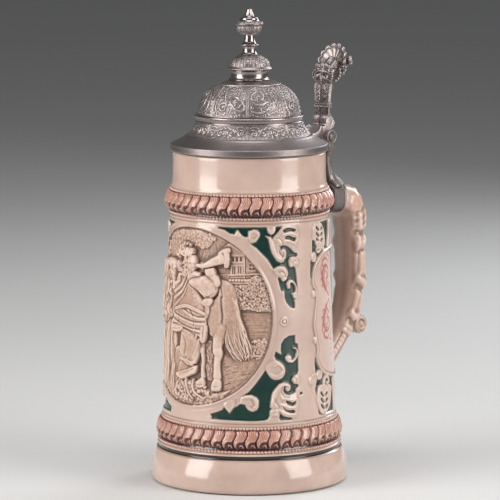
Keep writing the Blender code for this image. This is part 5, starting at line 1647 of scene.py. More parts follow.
def build_volute():
    """Scroll on the outer bend of the handle: a drum with coiled ends."""
    centre_x, centre_z, half_wide, cols = 95.4, 89.2, 8.4, 150
    # radius, and y beyond the half width, from the axis out to the middle of the drum
    rows = points("""0.02,1.3 0.8,1.35 1.7,1.2 2.3,0.5 3,0.35 3.8,0.9 4.7,0.95 5.5,0.4 6,-0.9
        6.25,-3 6.1,-5.2 5.8,-7.2 5.75,-8.4""") + (0, half_wide)
    p = dense_profile(np.vstack([rows, rows[:-1][::-1] * (1, -1)]), 0.32)
    A, R, Y = spread(p, 2 * math.pi * np.arange(cols) / cols)
    turn = (A / (2 * math.pi) + (6.2 - R) / 2.6) % 1.0
    groove = (bell(turn, 0.5, 0.17) * smooth01((R - 0.9) / 0.8) * smooth01((6.0 - R) / 0.6)
              * (np.abs(Y) > half_wide - 1.2))
    rib = 0.22 * np.cos(Y * 1.9) * (np.abs(Y) < half_wide - 1.5)
    R = R + rib
    grid = np.stack([centre_x + R * np.cos(A), Y - np.sign(Y) * groove * 0.9,
                     centre_z + R * np.sin(A)], -1)
    # painted shade in the grooves and between the ribs, painted highlight on the ribs
    hollow = np.clip(0.5 + 0.45 * groove - 0.15 * (rib > 0.1) + 0.2 * (rib < -0.1), 0, 1)
    zero = np.zeros_like(hollow)
    # mixed 0.3 toward the tan: partly the clay's tint, partly painted shade on the handle
    return skin("stein_handle_scroll", grid, "cap",
                {"glaze": channels(zero, zero, zero, zero),
                 "clay": channels(0.3, hollow, 0.0, 1.0)}, CLAY)


# ------------------------------------------------------------------ pewter lid
def corners(pts, spacing, soften=0.6, closed=False):
    """Even resampling of a straight-edged profile with slightly eased corners."""
    p = points(pts)
    if closed:
        p = np.vstack([p, p[:1]])
    p = resample(p, max(8, int(run_length(p)[-1] / spacing)))
    if closed:
        p = np.pad(p[:-1], ((6, 6), (0, 0)), mode="wrap")
    reach, kernel = gauss_kernel(soften / spacing * 0.5)
    p = np.pad(p, ((reach, reach), (0, 0)), mode="edge")
    out = sum(k * p[i:i + len(p) - 2 * reach] for i, k in enumerate(kernel))
    return out[6:-6] if closed else out


def full_turn(cols):
    return np.linspace(-math.pi, math.pi, cols, endpoint=False)


def lathe(name, profile, cols, mat, spacing, soften, relief=None):
    """Turned ring with a closed section; relief(psi, r, z) returns height."""
    p = corners(profile, spacing, soften, True)
    nr, nz = slope_of(np.roll(p, -1, 0) - np.roll(p, 1, 0))
    if np.sum(p[:, 0] * np.roll(p[:, 1], -1) - np.roll(p[:, 0], -1) * p[:, 1]) > 0:
        nr, nz = -nr, -nz
    PSI, R, Z = spread(p, full_turn(cols))
    H = relief(PSI, R, Z) if relief else np.zeros(R.shape)
    hollow = 0.5 + np.clip((blur(H, 3.0, True) - H) / 0.28, -1, 1) * 0.5
    # painted shade and highlight of the turned profile itself: dark in the grooves, light on the
    # ridges
    smooth_r = blur(p[:, :1], 4.0)[:, 0]
    groove = np.clip((smooth_r - p[:, 0]) * nr * 1.2, -0.5, 0.5)
    hollow = hollow + groove[:, None] * 0.6
    grid = turned(PSI, np.maximum(R + H * nr[:, None], 0.001), Z + H * nz[:, None])
    return skin(name, grid, "loop", patina_and_highlight_mask(hollow), mat)


def leaf(art, u, z, length, width, rot, h):
    """Pointed leaf with a vein and nicked edges."""
    c, s = math.cos(math.radians(rot)), math.sin(math.radians(rot))

    def placed(*spots):
        return [(u + a * length * c - b * width * s, z + a * length * s + b * width * c)
                for a, b in spots]
    art.plate(placed((0, 0), (0.25, 0.42), (0.55, 0.5), (0.8, 0.28), (1, 0), (0.8, -0.28),
                     (0.55, -0.5), (0.25, -0.42)), h, width * 0.45)
    art.cut(placed((0, 0), (0.5, 0), (0.95, 0)), max(0.16, width * 0.07), h * 0.6)
    for k in (0.3, 0.5, 0.7):
        for side in (-1, 1):
            art.cut(placed((k, 0), (k + 0.14, side * 0.42)), 0.14, h * 0.35)


def fill_ground(art, lo_u, hi_u, lo_z, hi_z, pitch, seed, h):
    """Small curls, leaves and beads wherever the ground is still bare."""
    rng = np.random.default_rng(seed)
    for j in range(int((hi_z - lo_z) / pitch)):
        for i in range(int((hi_u - lo_u) / pitch)):
            u = lo_u + (i + 0.5 + 0.5 * (j % 2) + rng.uniform(-0.3, 0.3)) * pitch
            z = lo_z + (j + 0.5 + rng.uniform(-0.3, 0.3)) * pitch
            turn = rng.uniform(0, 360)
            kind = rng.integers(0, 4)
            w = art.window([(u, z)], 0.6 * pitch)
            if (art.h[w] > 0.08).mean() > 0.34 or not lo_u + 0.8 < u < hi_u - 0.8:
                continue
            if kind == 0:
                art.coil(u, z, 0.42 * pitch, 0.08 * pitch, turn, turn + 400, 14,
                         [0.26, 0.22], [h, h])
            elif kind == 1:
                leaf(art, u, z, 0.8 * pitch, 0.42 * pitch, turn, h)
            elif kind == 2:
                c, s = math.cos(math.radians(turn)), math.sin(math.radians(turn))
                art.stroke([(u - 0.5 * pitch * c, z - 0.5 * pitch * s),
                            (u + 0.2 * s, z - 0.2 * c),
                            (u + 0.5 * pitch * c, z + 0.5 * pitch * s)], [0.2, 0.34, 0.2], h)
            else:
                art.blob(u, z, 0.42, 0.3, turn, h)


def vine(art, pts, r, h, side=1):
    """Stem with small leaves springing from alternate sides."""
    step = 2.1
    p = spline(pts, per=10)
    art.stroke(pts, [r, r * 1.1, r * 0.8], h)
    run = run_length(p)

    def spot(t):
        return np.interp(t, run, p[:, 0]), np.interp(t, run, p[:, 1])
    t = step * 0.6
    while t < run[-1] - 0.5:
        u, z = spot(t)
        ahead_u, ahead_z = spot(t + 0.3)
        leaf(art, u, z, 2.1, 1.0,
             math.degrees(math.atan2(ahead_z - z, ahead_u - u)) + side * 48, h * 0.9)
        side = -side
        t += step


def dome_sheet():
    """Two panels of low scroll work, 22 mm wide at the foot of the dome."""
    art = Sheet(-11.0, 33.0, -1.0, 36.0, 0.1)
    # panel A: two C scrolls and a rosette stem between leaf columns
    art.stroke("-6.9,2.2 -8.6,7 -8.4,13.5 -6.2,19.5 -3.4,24", [0.5, 0.6, 0.5, 0.35],
               [0.42, 0.42, 0.3])
    for k in range(9):
        f = k / 8.0
        x, y = -9.0 + 4.6 * f ** 1.7, 2.6 + 21.0 * f
        leaf(art, x, y, 2.4, 1.3, 128 - 30 * f, 0.34)
        leaf(art, x + 1.2, y + 0.5, 2.0, 1.0, 40 + 10 * f, 0.3)
    art.coil(-3.4, 6.6, 3.3, 0.5, 60, 560, 70, [0.55, 0.55, 0.45, 0.35], [0.45, 0.42, 0.36],
             power=0.9)
    art.blob(-3.4, 6.6, 0.7, None, 0, 0.5)
    vine(art, "-1.8,9.6 -3.6,13 -4.4,16.6 -2.6,19.4 0.4,19.8", 0.42, 0.4)
    art.coil(3.6, 11.4, 3.7, 0.5, 250, -270, 80, [0.55, 0.55, 0.45, 0.35], [0.45, 0.42, 0.36],
             power=0.9)
    art.blob(3.6, 11.4, 0.75, None, 0, 0.5)
    vine(art, "2.4,7.8 4.6,5.2 8,4.6 9.4,7.2 8.4,10", 0.45, 0.4, -1)
    vine(art, "4.8,15.2 7.4,17.6 8.6,21.4 6.4,24", 0.4, 0.36)
    art.coil(2.2, 21.4, 2.3, 0.4, -60, 380, 50, [0.42, 0.4, 0.32], [0.38, 0.34, 0.3], power=0.9)
    for k in range(7):
        a = math.radians(51.4 * k)
        art.blob(3.6 + 1.45 * math.cos(a), 16.9 + 1.45 * math.sin(a), 0.62, 0.42,
                 math.degrees(a), 0.36)
    art.blob(3.6, 16.9, 0.5, None, 0, 0.48)
    # panel B: one large C scroll, an S leaf and a long raking leaf
    art.coil(18.2, 14.6, 5.2, 0.8, 205, -250, 90, [0.62, 0.66, 0.55, 0.42], [0.48, 0.46, 0.38],
             power=0.85)
    art.blob(18.2, 14.6, 0.9, None, 0, 0.5)
    art.stroke("13.6,10.6 16,8.8 19.4,8.7 22.2,10.4", [0.4, 0.8, 0.8, 0.4], [0.4, 0.5, 0.4])
    vine(art, "13.4,4.4 17,3.4 21,4.6 24,8 24.6,12 22.8,15", 0.5, 0.42, -1)
    vine(art, "24,17 27,14 28.6,10 28.4,5.6 25.6,3", 0.45, 0.4)
    for k in range(10):
        f = k / 9.0
        leaf(art, 31.2 - 6.4 * f ** 1.6, 2.6 + 20.6 * f, 2.6, 1.3, 66 + 34 * f, 0.34)
    vine(art, "13,20.6 16.4,22.4 20.4,21.8 23.6,22.6", 0.42, 0.36)
    for k in range(3):
        art.coil(14.0 + 5.0 * k, 24.6, 1.5, 0.3, 200, 620, 30, [0.36, 0.3], [0.34, 0.3])
    fill_ground(art, -11.0, 11.0, 0.8, 26.5, 1.75, 5, 0.26)
    fill_ground(art, 11.0, 33.0, 0.8, 26.5, 1.75, 9, 0.26)
    grain = np.where(art.h < 0.04, 0.06 * (vnoise(art.U * 2.6, art.Z * 2.6, 4) - 0.5), 0.0)
    art.h = blur(art.h, 0.9) + grain + 0.06 * (fbm(art.U * 1.2, art.Z * 1.2, 2, 6) - 0.5)
    # twin fillets between the panels
    for u in (-11.0, 11.0, 33.0):
        d = np.abs(art.U - u)
        art.h = np.where(d < 0.9, 0.0, art.h) + 0.24 * bell(d, 0.42, 0.22)
    return art


def skirt_sheet():
    """One panel of scroll work, mirrored about its middle."""
    art = Sheet(-14.0, 14.0, -0.6, 12.6, 0.1)
    for m in (-1, 1):
        def mirrored(text):
            return points(text) * (m, 1)
        # the coils themselves turn the same way on both sides
        art.coil(m * 3.9 if m > 0 else -3.9, 5.2, 2.6, 0.4, 110 if m > 0 else 70,
                 -380 if m > 0 else 560, 50, [0.5, 0.45, 0.35], [0.42, 0.4, 0.34],
                 power=0.9)
        art.blob(m * 3.9, 5.2, 0.6, None, 0, 0.5)
        art.stroke(mirrored("3,8 1.4,8.9 0,8"), [0.4, 0.42, 0.35], 0.38)
        art.coil(m * 10.0, 5.0, 2.3, 0.4, 70 if m > 0 else 110, 520 if m > 0 else -340, 50,
                 [0.48, 0.42, 0.34], [0.4, 0.38, 0.34], power=0.9)
        art.blob(m * 10.0, 5.0, 0.55, None, 0, 0.46)
        art.stroke(mirrored("6.3,7.4 7.2,6.2 8,7.2"), [0.35, 0.4, 0.3], 0.36)
        art.stroke(mirrored("5.8,2.6 7.2,1.6 9.2,2"), [0.36, 0.4, 0.3], 0.36)
        art.stroke(mirrored("7.6,8.8 9.6,9.3 12,8.6"), [0.3, 0.4, 0.3], 0.34)
        leaf(art, m * 12.8, 6.4, 2.6, 1.1, 90, 0.32)
        leaf(art, m * 1.2, 1.4, 2.6, 1.1, 90 - m * 35, 0.32)
        leaf(art, m * 6.6, 3.6, 2.2, 1.0, 90, 0.32)
    art.stroke("-1.8,6.1 1.8,6.1", [0.28], 0.32)
    art.stroke("-1.8,5 1.8,5", [0.28], 0.32)
    fill_ground(art, -13.2, 13.2, 0.8, 10.4, 1.6, 3, 0.24)
    grain = np.where(art.h < 0.04, 0.05 * (vnoise(art.U * 2.8, art.Z * 2.8, 5) - 0.5), 0)
    art.h = blur(art.h, 0.8) + grain
    for u in (-14.0, 14.0):
        d = np.abs(art.U - u)
        art.h = np.where(d < 0.8, 0.0, art.h) + 0.24 * bell(d, 0.4, 0.2)
    return art


def embossed_ring(name, outer, inner, art, half_panel, panels, fade, sigma, depth, shade,
                  moulding=None, inner_patina_and_highlight=None):
    """Turned shell with eight panels of low relief on its outer profile.

    panels is how many different panels the sheet holds, fade the margins left
    plain at the start and end of the profile.  sigma, depth and shade set the
    tarnish in the hollows and the painted highlight; moulding(run, last) adds plain mouldings.
    """
    cols = 900
    p = np.vstack([outer, inner[1:-1]])
    nr, nz = slope_of(-np.gradient(p, axis=0))
    run = run_length(p)
    PSI, R, Z = spread(p, full_turn(cols))
    S = np.repeat(run[:, None], cols, 1)
    degrees = np.degrees(PSI) - 22.5 + 2.0
    k = np.floor((degrees + 22.5) / 45.0)
    local = degrees - 45.0 * k
    u = local / 22.5 * half_panel + 2 * half_panel * (k % panels)
    count = len(outer)
    last = run[count - 1]
    gate = smooth01((S - fade[0]) / 0.6) * smooth01((last - fade[1] - S) / 0.5)
    gate[count:] = 0
    H = art.sample(art.h, u, S) * gate
    if moulding:
        edge = moulding(S, last)
        edge[count:] = 0
        H = H + edge
    hollow = np.clip(0.5 + 0.5 * np.clip((blur(H, sigma, True) - H) / depth, -1, 1)
                     + shade * gate * (H < 0.10), 0, 1)
    if inner_patina_and_highlight is not None:
        hollow[count:] = inner_patina_and_highlight
    grid = turned(PSI, R + H * nr[:, None], Z + H * nz[:, None])
    return skin(name, grid, "loop", patina_and_highlight_mask(hollow), EMBOSSED)


def build_lid():
    """Yields each piece with the CAD node it replaces and its material slot."""
    def rim_relief(psi, r, z):
        lines = 0.05 * bell(r, 42.4, 0.2) * (z > 215.6)
        return lines + 0.02 * (fbm(psi * 30, z * 1.4, 2, 8) - 0.5)
    yield lathe("lid_flange", """36.4,221.2 36.6,222.6 37.4,222.4 38.6,221.5 39.2,221.35 40,221.3
        40.6,221 41,220.5 41.6,219.95 44,218.6 46.6,217.3 49,216.2 49.6,215.95 50.1,215.75
        50.3,215.35 50.2,214.9 50.25,214.4 50.3,211.9 49.8,211.3 44.05,211.3 43.9,209.7 43,209.3
        42.5,209.8 42.3,213 40,217.4 36.6,219.6 35.6,220 35.6,221.2""",
                300, SATIN, 0.28, 0.25, rim_relief), "lid_rim", "pewter_plain"

    def dome_moulding(run, last):
        return 0.5 * bell(run, last - 7.4, 0.42) - 0.25 * bell(run, last - 8.4, 0.4)
    outer = dense_profile("""33.2,234.3 32.3,237.6 31.7,240.2 30.9,242.6 30,244.6 28.7,246.5
        27.2,248.1 25.6,249.6 23.9,251 22,252.4 19.8,253.6 18.3,254.2 15.6,255.2 13.4,255.9
        12.9,256.1""", 0.24)
    inner = corners("""12.9,256.1 2.3,256.1 2.3,254.2 12,254.2 16.4,252.4 20,251.2 24,248.4
        27,245.4 28.9,242.6 30.2,238 31.2,234.3 33.2,234.3""", 1.4, 0.5)
    yield embossed_ring("lid_dome_embossed", outer, inner, dome_sheet(), half_panel=11.0,
                        panels=2, fade=(0.3, 8.3), sigma=3.2, depth=0.2, shade=0.10,
                        moulding=dome_moulding, inner_patina_and_highlight=0.55), "lid_dome", "pewter_embossed"

    outer = dense_profile("""39.1,221.3 38.7,221.75 38,222.3 37.2,223 36.5,223.8 35.9,224.7
        35.4,225.7 35,226.7 34.65,227.8 34.35,228.9 34.15,229.9""", 0.28)
    inner = corners("34.15,229.9 32.3,229.9 33.1,225.4 34.8,223.4 36.4,221.2 39.1,221.3", 1.2, 0.4)
    yield embossed_ring("lid_skirt_embossed", outer, inner, skirt_sheet(), half_panel=14.0,
                        panels=1, fade=(0.2, 0.1), sigma=2.8, depth=0.18, shade=0.12), \
        "lid_skirt", "pewter_embossed"


def build_finial():
    """Yields each piece with the CAD node it replaces and its material slot."""
    yield lathe("lid_moulding_ring", """33,234.25 34.4,234.2 34.95,234 35.15,233.6 34.95,233.1
        34.65,232.4 34.5,231.6 34.4,231.05 33.95,230.8 33.95,230.5 34.3,230.3 34.35,230 34.1,229.6
        31.8,229.5 31.4,234.2""", 300, BRIGHT, 0.2, 0.22), "lid_moulding", "pewter_polished"
    yield lathe("lid_neck_ring", """12.1,262.1 12.15,261.8 11.9,261.1 11.8,260 11.8,258.9
        11.9,258.1 12.2,257.4 12.7,256.9 13.3,256.5 13,256.2 2.2,256.3 2.2,262.1""",
                200, BRIGHT, 0.2, 0.3), "lid_neck", "pewter_polished"

    def band(psi, r, z):
        """Two rows of small overlapping leaves on the bell of the base."""
        v = np.clip((z - 265.0) / 5.2, 0, 1)
        gate = smooth01((z - 264.8) / 0.35) * smooth01((270.5 - z) / 0.5) * (r > 6)
        k = psi * 18 / (2 * math.pi)
        w, w2 = k % 1.0 - 0.5, (k + 0.5) % 1.0 - 0.5
        wide, wide2 = np.clip(1.15 - v * 1.3, 0.05, 1) ** 0.6, np.clip(1.05 - v, 0.05, 1) ** 0.5
        one = np.clip(1 - (w / (0.47 * wide)) ** 2, 0, 1) ** 0.5 * (v < 0.88)
        two = np.clip(1 - (w2 / (0.44 * wide2)) ** 2, 0, 1) ** 0.5
        nick = 0.12 * np.sin(v * 30 + np.abs(w) * 16)
        h = np.maximum(0.42 * one * (1 - 0.4 * bell(w, 0, 0.07)) + nick * (one > 0.2),
                       0.26 * two * (1 - 0.5 * bell(w2, 0, 0.07)))
        return gate * (h - 0.12)
    yield lathe("finial_base_bell", """1.5,272.3 5,272.3 6.3,271.9 7.5,271.4 8.2,270.9 9.5,270.1
        10.7,269.3 11.7,268.2 12.4,267 12.7,265.8 12.8,265.1 13.1,264.7 13.6,264.3 14.1,263.8
        14.5,263.3 14.45,263 14,262.75 13.2,262.5 12.3,262.2 2.2,262.2 2.2,267.3 0.6,267.3
        0.6,269.5 1.5,269.5""", 288, EMBOSSED, 0.18, 0.2, band), "finial_base", "pewter_polished"
    yield lathe("finial_stem_knop", """1.2,284.9 3.2,284.9 3.05,284.3 3.05,283.4 3.15,282.4
        3.35,281.4 3.7,280.4 4.2,279.6 5,279 5.7,278.7 5.9,278.35 5.7,278 4.9,277.6 4.4,277.3
        4.25,276.8 4.1,275.6 4.15,274.6 4.4,273.6 4.9,272.8 5.8,272.2 1.2,272.2 1.2,269.8
        0.25,269.8 0.25,287.2 1.2,287.2""", 160, BRIGHT, 0.16, 0.2), \
        "finial_stem", "pewter_polished"

    def petals(psi, r, z):
        """Small paired leaves under the rim, leaf tips lying on top of it."""
        gate = smooth01((z - 285.9) / 0.4) * smooth01((290.4 - z) / 0.35) * (r > 5.4)
        w = (psi * 13 / (2 * math.pi)) % 1.0 - 0.5
        body = np.clip(1 - (w / 0.42) ** 2 - ((z - 288.2) / 2.1) ** 2, 0, 1) ** 0.5
        veins = 0.5 + 0.5 * np.cos(w * 2 * math.pi * 3.2)
        dots = np.clip(1 - ((np.abs(w) - 0.5) / 0.12) ** 2 - ((z - 289.4) / 0.55) ** 2,
                       0, 1) ** 0.5
        top = (z > 292.0) * (r > 6.4) * smooth01((8.75 - r) / 0.3)
        across = np.abs(((psi * 20 / (2 * math.pi)) % 1.0) - 0.5) * 2
        tips = 0.22 * (across < np.clip((8.7 - r) / 1.5, 0, 1)) * top
        return gate * (0.5 * body * (0.62 + 0.38 * veins) + 0.3 * dots - 0.16) + tips
    yield lathe("finial_cup_bowl", """1.2,293.2 6.4,293.3 7.2,293 8,292.75 8.6,292.4 8.95,291.9
        8.9,291.4 8.5,291 8.1,290.75 7.95,290.35 8,289.6 7.85,288.6 7.55,287.5 7.05,286.6
        6.4,285.95 5.95,285.7 6,285.35 5.6,285 4.2,284.8 1.5,284.7 1.5,287.5 0.6,287.5 0.6,290.2
        1.2,290.2""", 260, EMBOSSED, 0.14, 0.18, petals), "finial_cup", "pewter_embossed"

    def facets(psi, r, z):
        """Eight faint flats on the cone."""
        gate = smooth01((z - 296.2) / 0.6) * smooth01((300.6 - z) / 0.6)
        f = (psi * 8 / (2 * math.pi)) % 1.0 - 0.5
        return -0.10 * np.clip(1 - np.abs(f) * 2.4, 0, 1) * gate
    yield lathe("finial_tip_bud", """0.3,301.1 0.95,301.05 1.4,300.8 1.62,300.3 1.95,299.4
        2.3,298.4 2.65,297.5 3,296.7 3.35,296.25 4.1,295.95 5.1,295.7 5.6,295.3 5.75,294.9
        5.8,294.4 6.1,293.9 6.6,293.5 6.8,293.1 0.9,293.1 0.9,290.5 0.3,290.5""",
                160, BRIGHT, 0.14, 0.16, facets), "finial_tip", "pewter_polished"


# ------------------------------------------------------- hinge and thumb-lift
def soften(ob, voxel, rounds):
    """Voxel remesh and relax, so joined forms flow into one casting."""
    remesh = ob.modifiers.new("r", "REMESH")
    remesh.mode = "VOXEL"
    remesh.voxel_size = voxel * MM
    remesh.use_smooth_shade = True
    smooth = ob.modifiers.new("s", "SMOOTH")
    smooth.factor = 0.5
    smooth.iterations = rounds
    graph = bpy.context.evaluated_depsgraph_get()
    me = bpy.data.meshes.new_from_object(ob.evaluated_get(graph))
    ob.modifiers.clear()
    old = ob.data
    ob.data = me
    me.name = ob.name
    if old.users == 0:
        bpy.data.meshes.remove(old)
    return ob


def read_vertices(me, key):
    out = np.zeros(len(me.vertices) * 3, np.float32)
    me.vertices.foreach_get(key, out)
    return out.reshape(-1, 3).astype(float)


def relax(value, edges, rounds):
    """Average of a per-point value over its neighbours, repeated."""
    n = len(value)
    degree = np.maximum(np.bincount(edges.ravel(), minlength=n).astype(float), 1)
    for _ in range(rounds):
        total = (np.bincount(edges[:, 0], value[edges[:, 1]], n)
                 + np.bincount(edges[:, 1], value[edges[:, 0]], n))
        value = 0.5 * value + 0.5 * total / degree
    return value


def cast(ob, mat, detail, rounds=10, gain=0.5):
    """Adds relief along the normals and writes the mask of tarnish and painted highlight."""
    me = ob.data
    p, normal = read_vertices(me, "co") / MM, read_vertices(me, "normal")
    p = p + normal * detail(p, normal)[:, None]
    me.vertices.foreach_set("co", (p * MM).astype(np.float32).ravel())
    me.update()
    edges = np.zeros(len(me.edges) * 2, np.int32)
    me.edges.foreach_get("vertices", edges)
    edges = edges.reshape(-1, 2)
    # how far each point lies below the local average, along its normal
    average = np.stack([relax(p[:, k], edges, rounds) for k in range(3)], 1)
    depth = np.einsum("ij,ij->i", average - p, read_vertices(me, "normal"))
    hollow = np.clip(0.5 + gain * depth / 0.12 * 0.5, 0, 1)
    layer = me.color_attributes.new(name="patina_and_highlight", type="FLOAT_COLOR", domain="POINT")
    layer.data.foreach_set("color", channels(hollow, 0.0, 0.0, 1.0).astype(np.float32).ravel())
    me.polygons.foreach_set("use_smooth", np.full(len(me.polygons), True))
    me.materials.clear()
    me.materials.append(mat)
    return ob


def copy_of(node, name):
    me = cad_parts[node].data.copy()
    me.name = name
    me.materials.clear()
    return link_new(name, me)


def lump(bm, x, y, z, rx, ry, rz, seg):
    """Ellipsoid."""
    matrix = (Matrix.Translation(Vector((x, y, z)) * MM)
              @ Matrix.Diagonal((rx * MM, ry * MM, rz * MM, 1)))
    bmesh.ops.create_uvsphere(bm, u_segments=seg, v_segments=seg // 2, radius=1.0, matrix=matrix)


def loft(bm, sections, swap=False):
    """Skin over rings of points, closed at both ends; swap reverses the sides."""
    rings = [[bm.verts.new(Vector(p) * MM) for p in ring] for ring in sections]
    count = len(rings[0])
    for a, b in zip(rings[:-1], rings[1:]):
        for k in range(count):
            n = (k + 1) % count
            bm.faces.new((a[k], a[n], b[n], b[k]) if swap else (a[k], b[k], b[n], a[n]))
    bm.faces.new(rings[0])
    bm.faces.new(rings[-1][::-1])


def tube(bm, pts, radii, seg):
    """Round bar through points, with rounded ends."""
    p = spline(pts)
    r = along(np.linspace(0, 1, len(p)), radii)
    rings = []
    for i in range(len(p)):
        t = p[min(i + 1, len(p) - 1)] - p[max(i - 1, 0)]
        t = t / (np.linalg.norm(t) + 1e-9)
        a = np.cross(t, [0, 1, 0.0])
        if np.linalg.norm(a) < 1e-3:
            a = np.cross(t, [1.0, 0, 0])
        a /= np.linalg.norm(a)
        b = np.cross(t, a)
        rings.append([p[i] + r[i] * (math.cos(math.tau * k / seg) * a
                                     + math.sin(math.tau * k / seg) * b) for k in range(seg)])
    loft(bm, rings, swap=True)
    for i in (0, -1):
        lump(bm, *p[i], r[i], r[i], r[i], seg=10)


def build_collar():
    """Strap round the upper arm of the handle, edges rolled."""
    t, X, Z, half_wide, half_thick, NX, NZ = strap_frame(0.3)
    sides, power, inner_gap = 180, 2.8, 0.32
    angle = 2 * math.pi * (np.arange(sides) + 0.5) / sides
    cw = signed_power(np.cos(angle), 2 / power)
    cs = signed_power(np.sin(angle), 2 / power)
    index = np.where((X >= 66.2) & (X <= 77.8) & (Z > 160))[0]
    k = np.linspace(0, 1, len(index))
    edge = np.maximum(bell(k, 0.04, 0.05), bell(k, 0.96, 0.05))
    outer_gap = (0.3 + 1.65 + 0.35 * edge - 0.9 * (bell(k, 0.0, 0.015) + bell(k, 1.0, 0.015))
                 - 0.12 * (bell(k, 0.16, 0.02) + bell(k, 0.84, 0.02)))
    rows = list(zip(index, outer_gap)) + [(i, inner_gap) for i in index[::-1][::3]]
    grid = []
    for i, gap in rows:
        T = cs * (half_thick[i] + gap)
        grid.append(np.stack([X[i] + NX[i] * T, cw * (half_wide[i] + gap), Z[i] + NZ[i] * T], -1))
    base = np.full(len(rows), 0.6)
    base[:len(k)] = np.where(((k > 0.1) & (k < 0.2)) | ((k > 0.8) & (k < 0.9)), 0.62, 0.45)
    A, B = np.meshgrid(angle * 9, np.arange(len(rows)) * 0.2)
    hollow = base[:, None] + 0.12 * (fbm(B, A, 3, 4) - 0.5)
    return skin("handle_collar_strap", np.array(grid), "loop", patina_and_highlight_mask(hollow), SHADED)


SHANK_FOOT = (  # z, x from, x to, half width of each section
    (194.5, 66.0, 70.2, 6.4), (191.0, 66.3, 72.2, 7.0), (188.6, 66.6, 74.8, 7.7),
    (186.8, 66.9, 77.0, 8.8), (185.3, 67.2, 78.2, 10.0), (183.9, 67.5, 78.0, 11.0),
    (182.4, 67.8, 77.4, 11.4))


def shank_detail(p, normal):
    x, y, z = p.T
    nx, ny, nz = normal.T
    rad = np.hypot(x - HINGE_X, z - HINGE_Z)
    flank = (np.abs(y) > 9.6) & (np.abs(ny) > 0.8)
    h = np.where(flank & (rad < 4.6), 0.34 * bell(rad, 4.0, 0.35) - 0.34 * bell(rad, 3.2, 0.25)
                 + 0.2 * bell(rad, 2.8, 0.25), 0)
    # grooved rib down each flank, bead line down the face towards +X
    body = smooth01((207 - z) / 2) * smooth01((z - 190) / 2)
    mid = np.interp(z, [186, 190, 198, 205, 210], [73, 70.5, 67.4, 67.2, 66.0])
    h += np.where(np.abs(ny) > 0.7, -0.22 * bell(np.abs(x - mid), 1.45, 0.22), 0) * body
    h += np.where(nx > 0.6, 0.25 * bell(y, 0, 0.8) - 0.18 * bell(np.abs(y), 4.6, 0.3), 0) * body
    # knuckle mouldings below the eye
    h += 0.22 * (bell(z, 206.6, 0.35) + bell(z, 204.4, 0.35)) * (x > 62)
    # leaf veins on the tab
    tab = smooth01((x - 71.5) / 1.5) * (z < 191)
    veins = np.sin((x - np.abs(y) * 0.9) * 2.3) * 0.5 + 0.5
    h += tab * (-0.26 * bell(y, 0, 0.35) - 0.16 * veins) * (nz > 0.2)
    return h + 0.04 * (vnoise(x * 1.3, z * 1.3 + y, 5) - 0.5)


def build_shank():
    """Casting with eye rings and a leaf over the shoulder."""
    ob = copy_of("hinge_shank", "hinge_shank_cast")
    angle = np.arange(40) * math.tau / 40
    cx, cy = signed_power(np.cos(angle), 0.5), signed_power(np.sin(angle), 0.5)
    bm = bmesh.new()
    bm.from_mesh(ob.data)
    loft(bm, [[((x0 + x1) / 2 + (x1 - x0) / 2 * a, half * b, z) for a, b in zip(cx, cy)]
              for z, x0, x1, half in SHANK_FOOT])
    bm.to_mesh(ob.data)
    bm.free()
    return cast(soften(ob, 0.26, 5), SHADED, shank_detail)


def build_pin_cap(name, side):
    """Turned cap on one end of the hinge pin; side is the sign of y."""
    # radius, distance from the middle plane
    p = dense_profile("""0.02,9.1 1.2,9.1 2.5,9.1 2.52,9.6 2.5,10.15 2.3,10.5 2,10.6 1.75,10.55
        1.6,10.6 1.3,10.85 0.8,10.95 0.02,10.98""", 0.12)
    A, R, Y = spread(p, 2 * math.pi * np.arange(64) / 64)
    grid = np.stack([HINGE_X + R * np.cos(A), side * Y, HINGE_Z + R * np.sin(A)], -1)
    hollow = 0.42 + 0.5 * bell(R, 1.85, 0.22) + 0.2 * bell(R, 0.0, 0.5)
    return skin(name, grid, "cap", patina_and_highlight_mask(hollow), SHADED)


def tongue_detail(p, normal):
    x, y, z = p.T
    nx, ny, nz = normal.T
    top = smooth01((nz - 0.25) / 0.3) * (x < 60.8) * (z < 223.5)
    half = np.interp(x, [46, 48.6, 51, 54, 56.6, 58.8, 60.4], [8.4, 9.2, 9.4, 9.0, 8.2, 7.2, 6.3])
    inset = np.minimum(half - np.abs(y), np.maximum(x - 46.4, 0) * 0.8)
    h = top * (0.75 * bell(inset, 0.8, 0.55) - 0.5 * smooth01((inset - 1.5) / 1.8))
    # heel: twin cushions facing the lid, strap lines on the flanks
    heel = (x > 63.6) & (z > 222.4)
    cushions = np.clip(np.abs(np.sin(y * math.pi / 6.3)), 0, 1) ** 0.5
    h += np.where(heel & (nx < -0.4), 0.9 * cushions - 0.6 * bell(y, 0, 0.4), 0)
    rad = np.hypot(x - 67.2, z - 224.6)
    h += np.where(heel & (np.abs(ny) > 0.7), -0.25 * bell(rad, 2.7, 0.25)
                  + 0.15 * bell(rad, 0, 1.0), 0)
    return h + 0.04 * (vnoise(x * 1.3, z * 1.3 + y, 7) - 0.5)


